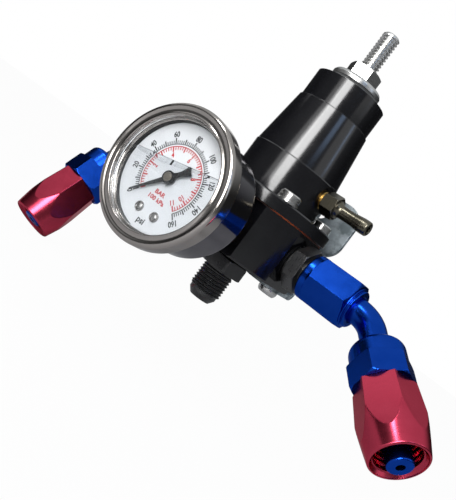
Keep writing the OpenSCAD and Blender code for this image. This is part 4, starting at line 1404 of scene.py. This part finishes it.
@dataclass
class Studio:
    """A pale floor, soft boxes, a bright surround and the camera."""

    focal_px: float = 661.69
    camera_at: tuple[float, float, float] = (134.34, -237.86, 0.7)
    right: tuple[float, float, float] = (0.68278, 0.42327, 0.59553)
    up: tuple[float, float, float] = (-0.53494, -0.26556, 0.80207)
    back: tuple[float, float, float] = (0.49764, -0.86621, 0.04511)
    room_light: float = 0.03
    front_light: float = 0.12
    ceiling_light: float = 0.65
    field: float = 0.91
    floor_gap: float = 0.0006
    floor_half: float = 3.0
    floor_white: float = 0.97
    floor_mirrored: float = 0.08

    def build(self) -> None:
        """Sets the view, then makes the camera, the surround, the floor and the lamps."""
        bpy.context.scene.view_settings.view_transform = "Standard"
        self.camera()
        self.surround()
        self.floor()
        self.lamps()

    def direction(self, right: float, up: float, back: float) -> Vector:
        """A direction in the picture's own axes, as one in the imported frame."""
        axes = np.array([self.right, self.up, self.back])
        return Vector(np.array([right, up, back]) @ axes)

    def camera(self) -> None:
        """Places the camera where the photograph was taken from."""
        data = bpy.data.cameras.new("camera")
        data.sensor_width = 36.0
        data.lens = 36.0 * self.focal_px / max(IMAGE_W, IMAGE_H)
        data.clip_start, data.clip_end = 0.01, 20.0
        camera = bpy.data.objects.new("camera", data)
        bpy.context.scene.collection.objects.link(camera)
        turn = Matrix((self.right, self.up, self.back)).transposed().to_4x4()
        spot = Vector((np.array(self.camera_at) + ORIGIN_SHIFT) * MM)
        camera.matrix_world = Matrix.Translation(spot) @ turn.to_quaternion().to_matrix().to_4x4()
        bpy.context.scene.camera = camera

    def surround(self) -> None:
        """White behind the part; for the light, a dim room with a paler front and a bright ceiling.

        The room's level is a floor value, plus a smooth step on the direction's share towards the camera
        and one on its height. The white backdrop fills the camera's view and shows in metal and glass too.
        """
        world = bpy.data.worlds.new("surround")
        bpy.context.scene.world = world
        world.use_nodes = True
        nodes = Nodes(world.node_tree)
        toward = nodes.add("TexCoord").outputs["Generated"]

        def step(axis: Vector, low: float, high: float, top: float) -> bpy.types.NodeSocket:
            """A smooth step from nothing to a top value on a direction's share along an axis."""
            share = nodes.add("VectorMath", {0: toward, 1: axis}, operation="DOT_PRODUCT").outputs["Value"]
            inputs = {"Value": share, "From Min": low, "From Max": high, "To Min": 0.0, "To Max": top}
            return nodes.add("MapRange", inputs, interpolation_type="SMOOTHSTEP").outputs[0]

        front = step(self.direction(0.0, 0.0, 1.0), -0.4, 0.5, self.front_light)
        ceiling = step(Vector((0.0, 0.0, 1.0)), 0.3, 0.8, self.ceiling_light)
        level = nodes.math("ADD", nodes.math("ADD", front, ceiling), self.room_light)
        room = nodes.add("Background", {"Color": (0.95, 0.98, 1.0, 1), "Strength": level})
        white = nodes.add("Background", {"Color": (1, 1, 1, 1), "Strength": 1.0})
        rays = nodes.add("LightPath").outputs
        behind = step(self.direction(0.0, 0.0, -1.0), self.field, self.field + 0.02, 1.0)
        mirrored = nodes.math("MAXIMUM", rays["Is Glossy Ray"], rays["Is Transmission Ray"])
        seen = nodes.math("MAXIMUM", rays["Is Camera Ray"], nodes.math("MULTIPLY", mirrored, behind))
        mix = nodes.add("MixShader", {0: seen, 1: room.outputs[0], 2: white.outputs[0]})
        nodes.add("OutputWorld", {"Surface": mix.outputs[0]})

    def floor(self) -> None:
        """Lays the pale floor just under the lowest point."""
        height = CAD_BOX[0].z - self.floor_gap
        h = self.floor_half
        mesh = bpy.data.meshes.new("floor")
        corners = [(-h, -h, height), (h, -h, height), (h, h, height), (-h, h, height)]
        mesh.from_pydata(corners, [], [(0, 1, 2, 3)])
        shader = Shader("floor")
        shader.set(Base_Color=(0.4, 0.4, 0.41, 1), Roughness=0.8, Specular_IOR_Level=0.1)
        glow = shader.add("Emission", {"Color": (1, 1, 1, 1), "Strength": 1.0})
        rays = shader.add("LightPath").outputs
        mirrored = shader.math("MAXIMUM", rays["Is Glossy Ray"], rays["Is Transmission Ray"])
        seen = shader.math("MAXIMUM", shader.math("MULTIPLY", rays["Is Camera Ray"], self.floor_white),
                           shader.math("MULTIPLY", mirrored, self.floor_mirrored))
        mix = shader.add("MixShader", {0: seen, 1: shader.skin.outputs[0], 2: glow.outputs[0]})
        shader.feed(shader.output.inputs["Surface"], mix.outputs[0])
        mesh.materials.append(shader.material)
        floor = bpy.data.objects.new("floor", mesh)
        bpy.context.scene.collection.objects.link(floor)

    def lamp(self, name: str, aim: Vector, distance: float, size: tuple[float, float], watts: float,
             colour: tuple[float, float, float] = (1, 1, 1)) -> None:
        """Hangs one upright soft box.

        Args:
            name: Its name.
            aim: Direction from the part to the lamp.
            distance: How far away it hangs, in metres.
            size: Its width and length in metres.
            watts: Its power.
            colour: Its tint.
        """
        data = bpy.data.lights.new(name, "AREA")
        data.shape = "RECTANGLE"
        data.size, data.size_y = size
        data.energy = watts
        data.color = colour
        lamp = bpy.data.objects.new(name, data)
        bpy.context.scene.collection.objects.link(lamp)
        back = aim.normalized()
        side = Vector((0, 0, 1)).cross(back).normalized()
        turn = Matrix((side, back.cross(side), back)).transposed().to_4x4()
        centre = (CAD_BOX[0] + CAD_BOX[1]) / 2
        lamp.matrix_world = Matrix.Translation(centre + back * distance) @ turn

    def lamps(self) -> None:
        """Hangs the key with two dimmer wings, two lamps overhead, a pale panel and two cool strips."""
        cool = (0.45, 0.65, 1.0)
        self.lamp("key", self.direction(-0.065, 0.44, 0.896), 0.6, (0.22, 0.4), 3.6)
        self.lamp("near_wing", self.direction(-0.235, 0.535, 0.81), 0.62, (0.09, 0.4), 0.55)
        self.lamp("far_wing", self.direction(-0.36, 0.6, 0.715), 0.64, (0.12, 0.4), 0.2)
        self.lamp("over", self.direction(-0.12, 0.915, 0.385), 0.6, (0.1, 0.1), 0.7)
        self.lamp("rear", self.direction(-0.3, 0.92, -0.25), 0.6, (0.2, 0.2), 0.09)
        self.lamp("panel", self.direction(0.869, -0.123, 0.479), 0.6, (0.36, 0.19), 0.13)
        self.lamp("strip", self.direction(0.6, 0.2275, 0.781), 0.6, (0.12, 0.2), 0.17, cool)
        self.lamp("line", self.direction(0.9365, -0.0835, 0.352), 0.6, (0.05, 0.2), 0.07, cool)


def main() -> None:
    """Builds the part's pieces in order, then the stage."""
    logging.basicConfig(level=logging.INFO, format="%(name)s %(message)s")
    fitting = {"base": 27.0, "hex_len": 5.5, "tip": 46.6, "deep": 9.0}
    for piece in (
        Regulator(),
        Spring(),
        Diaphragm(),
        Adjuster(),
        FlareFitting("right_adapter", RIGHT_PORT, **fitting),
        FlareFitting("left_adapter", LEFT_PORT, **fitting),
        FlareFitting("return_adapter", RETURN_PORT, 14.0, 6.0, 34.6, 7.0, clock=-10.0),
        VacuumNipple(),
        HoseEnd("right", 63.3, 45.0, 42.1, hex_turn=36.0, flat_turn=30.0, nipple_past=1.9),
        HoseEnd("left", 76.3, 90.0, 63.5, hex_turn=-10.0, flat_turn=-5.0),
        Gauge(),
        Studio(),
    ):
        piece.build()
        LOG.info("%s done", type(piece).__name__)


if __name__ == "__main__":
    main()
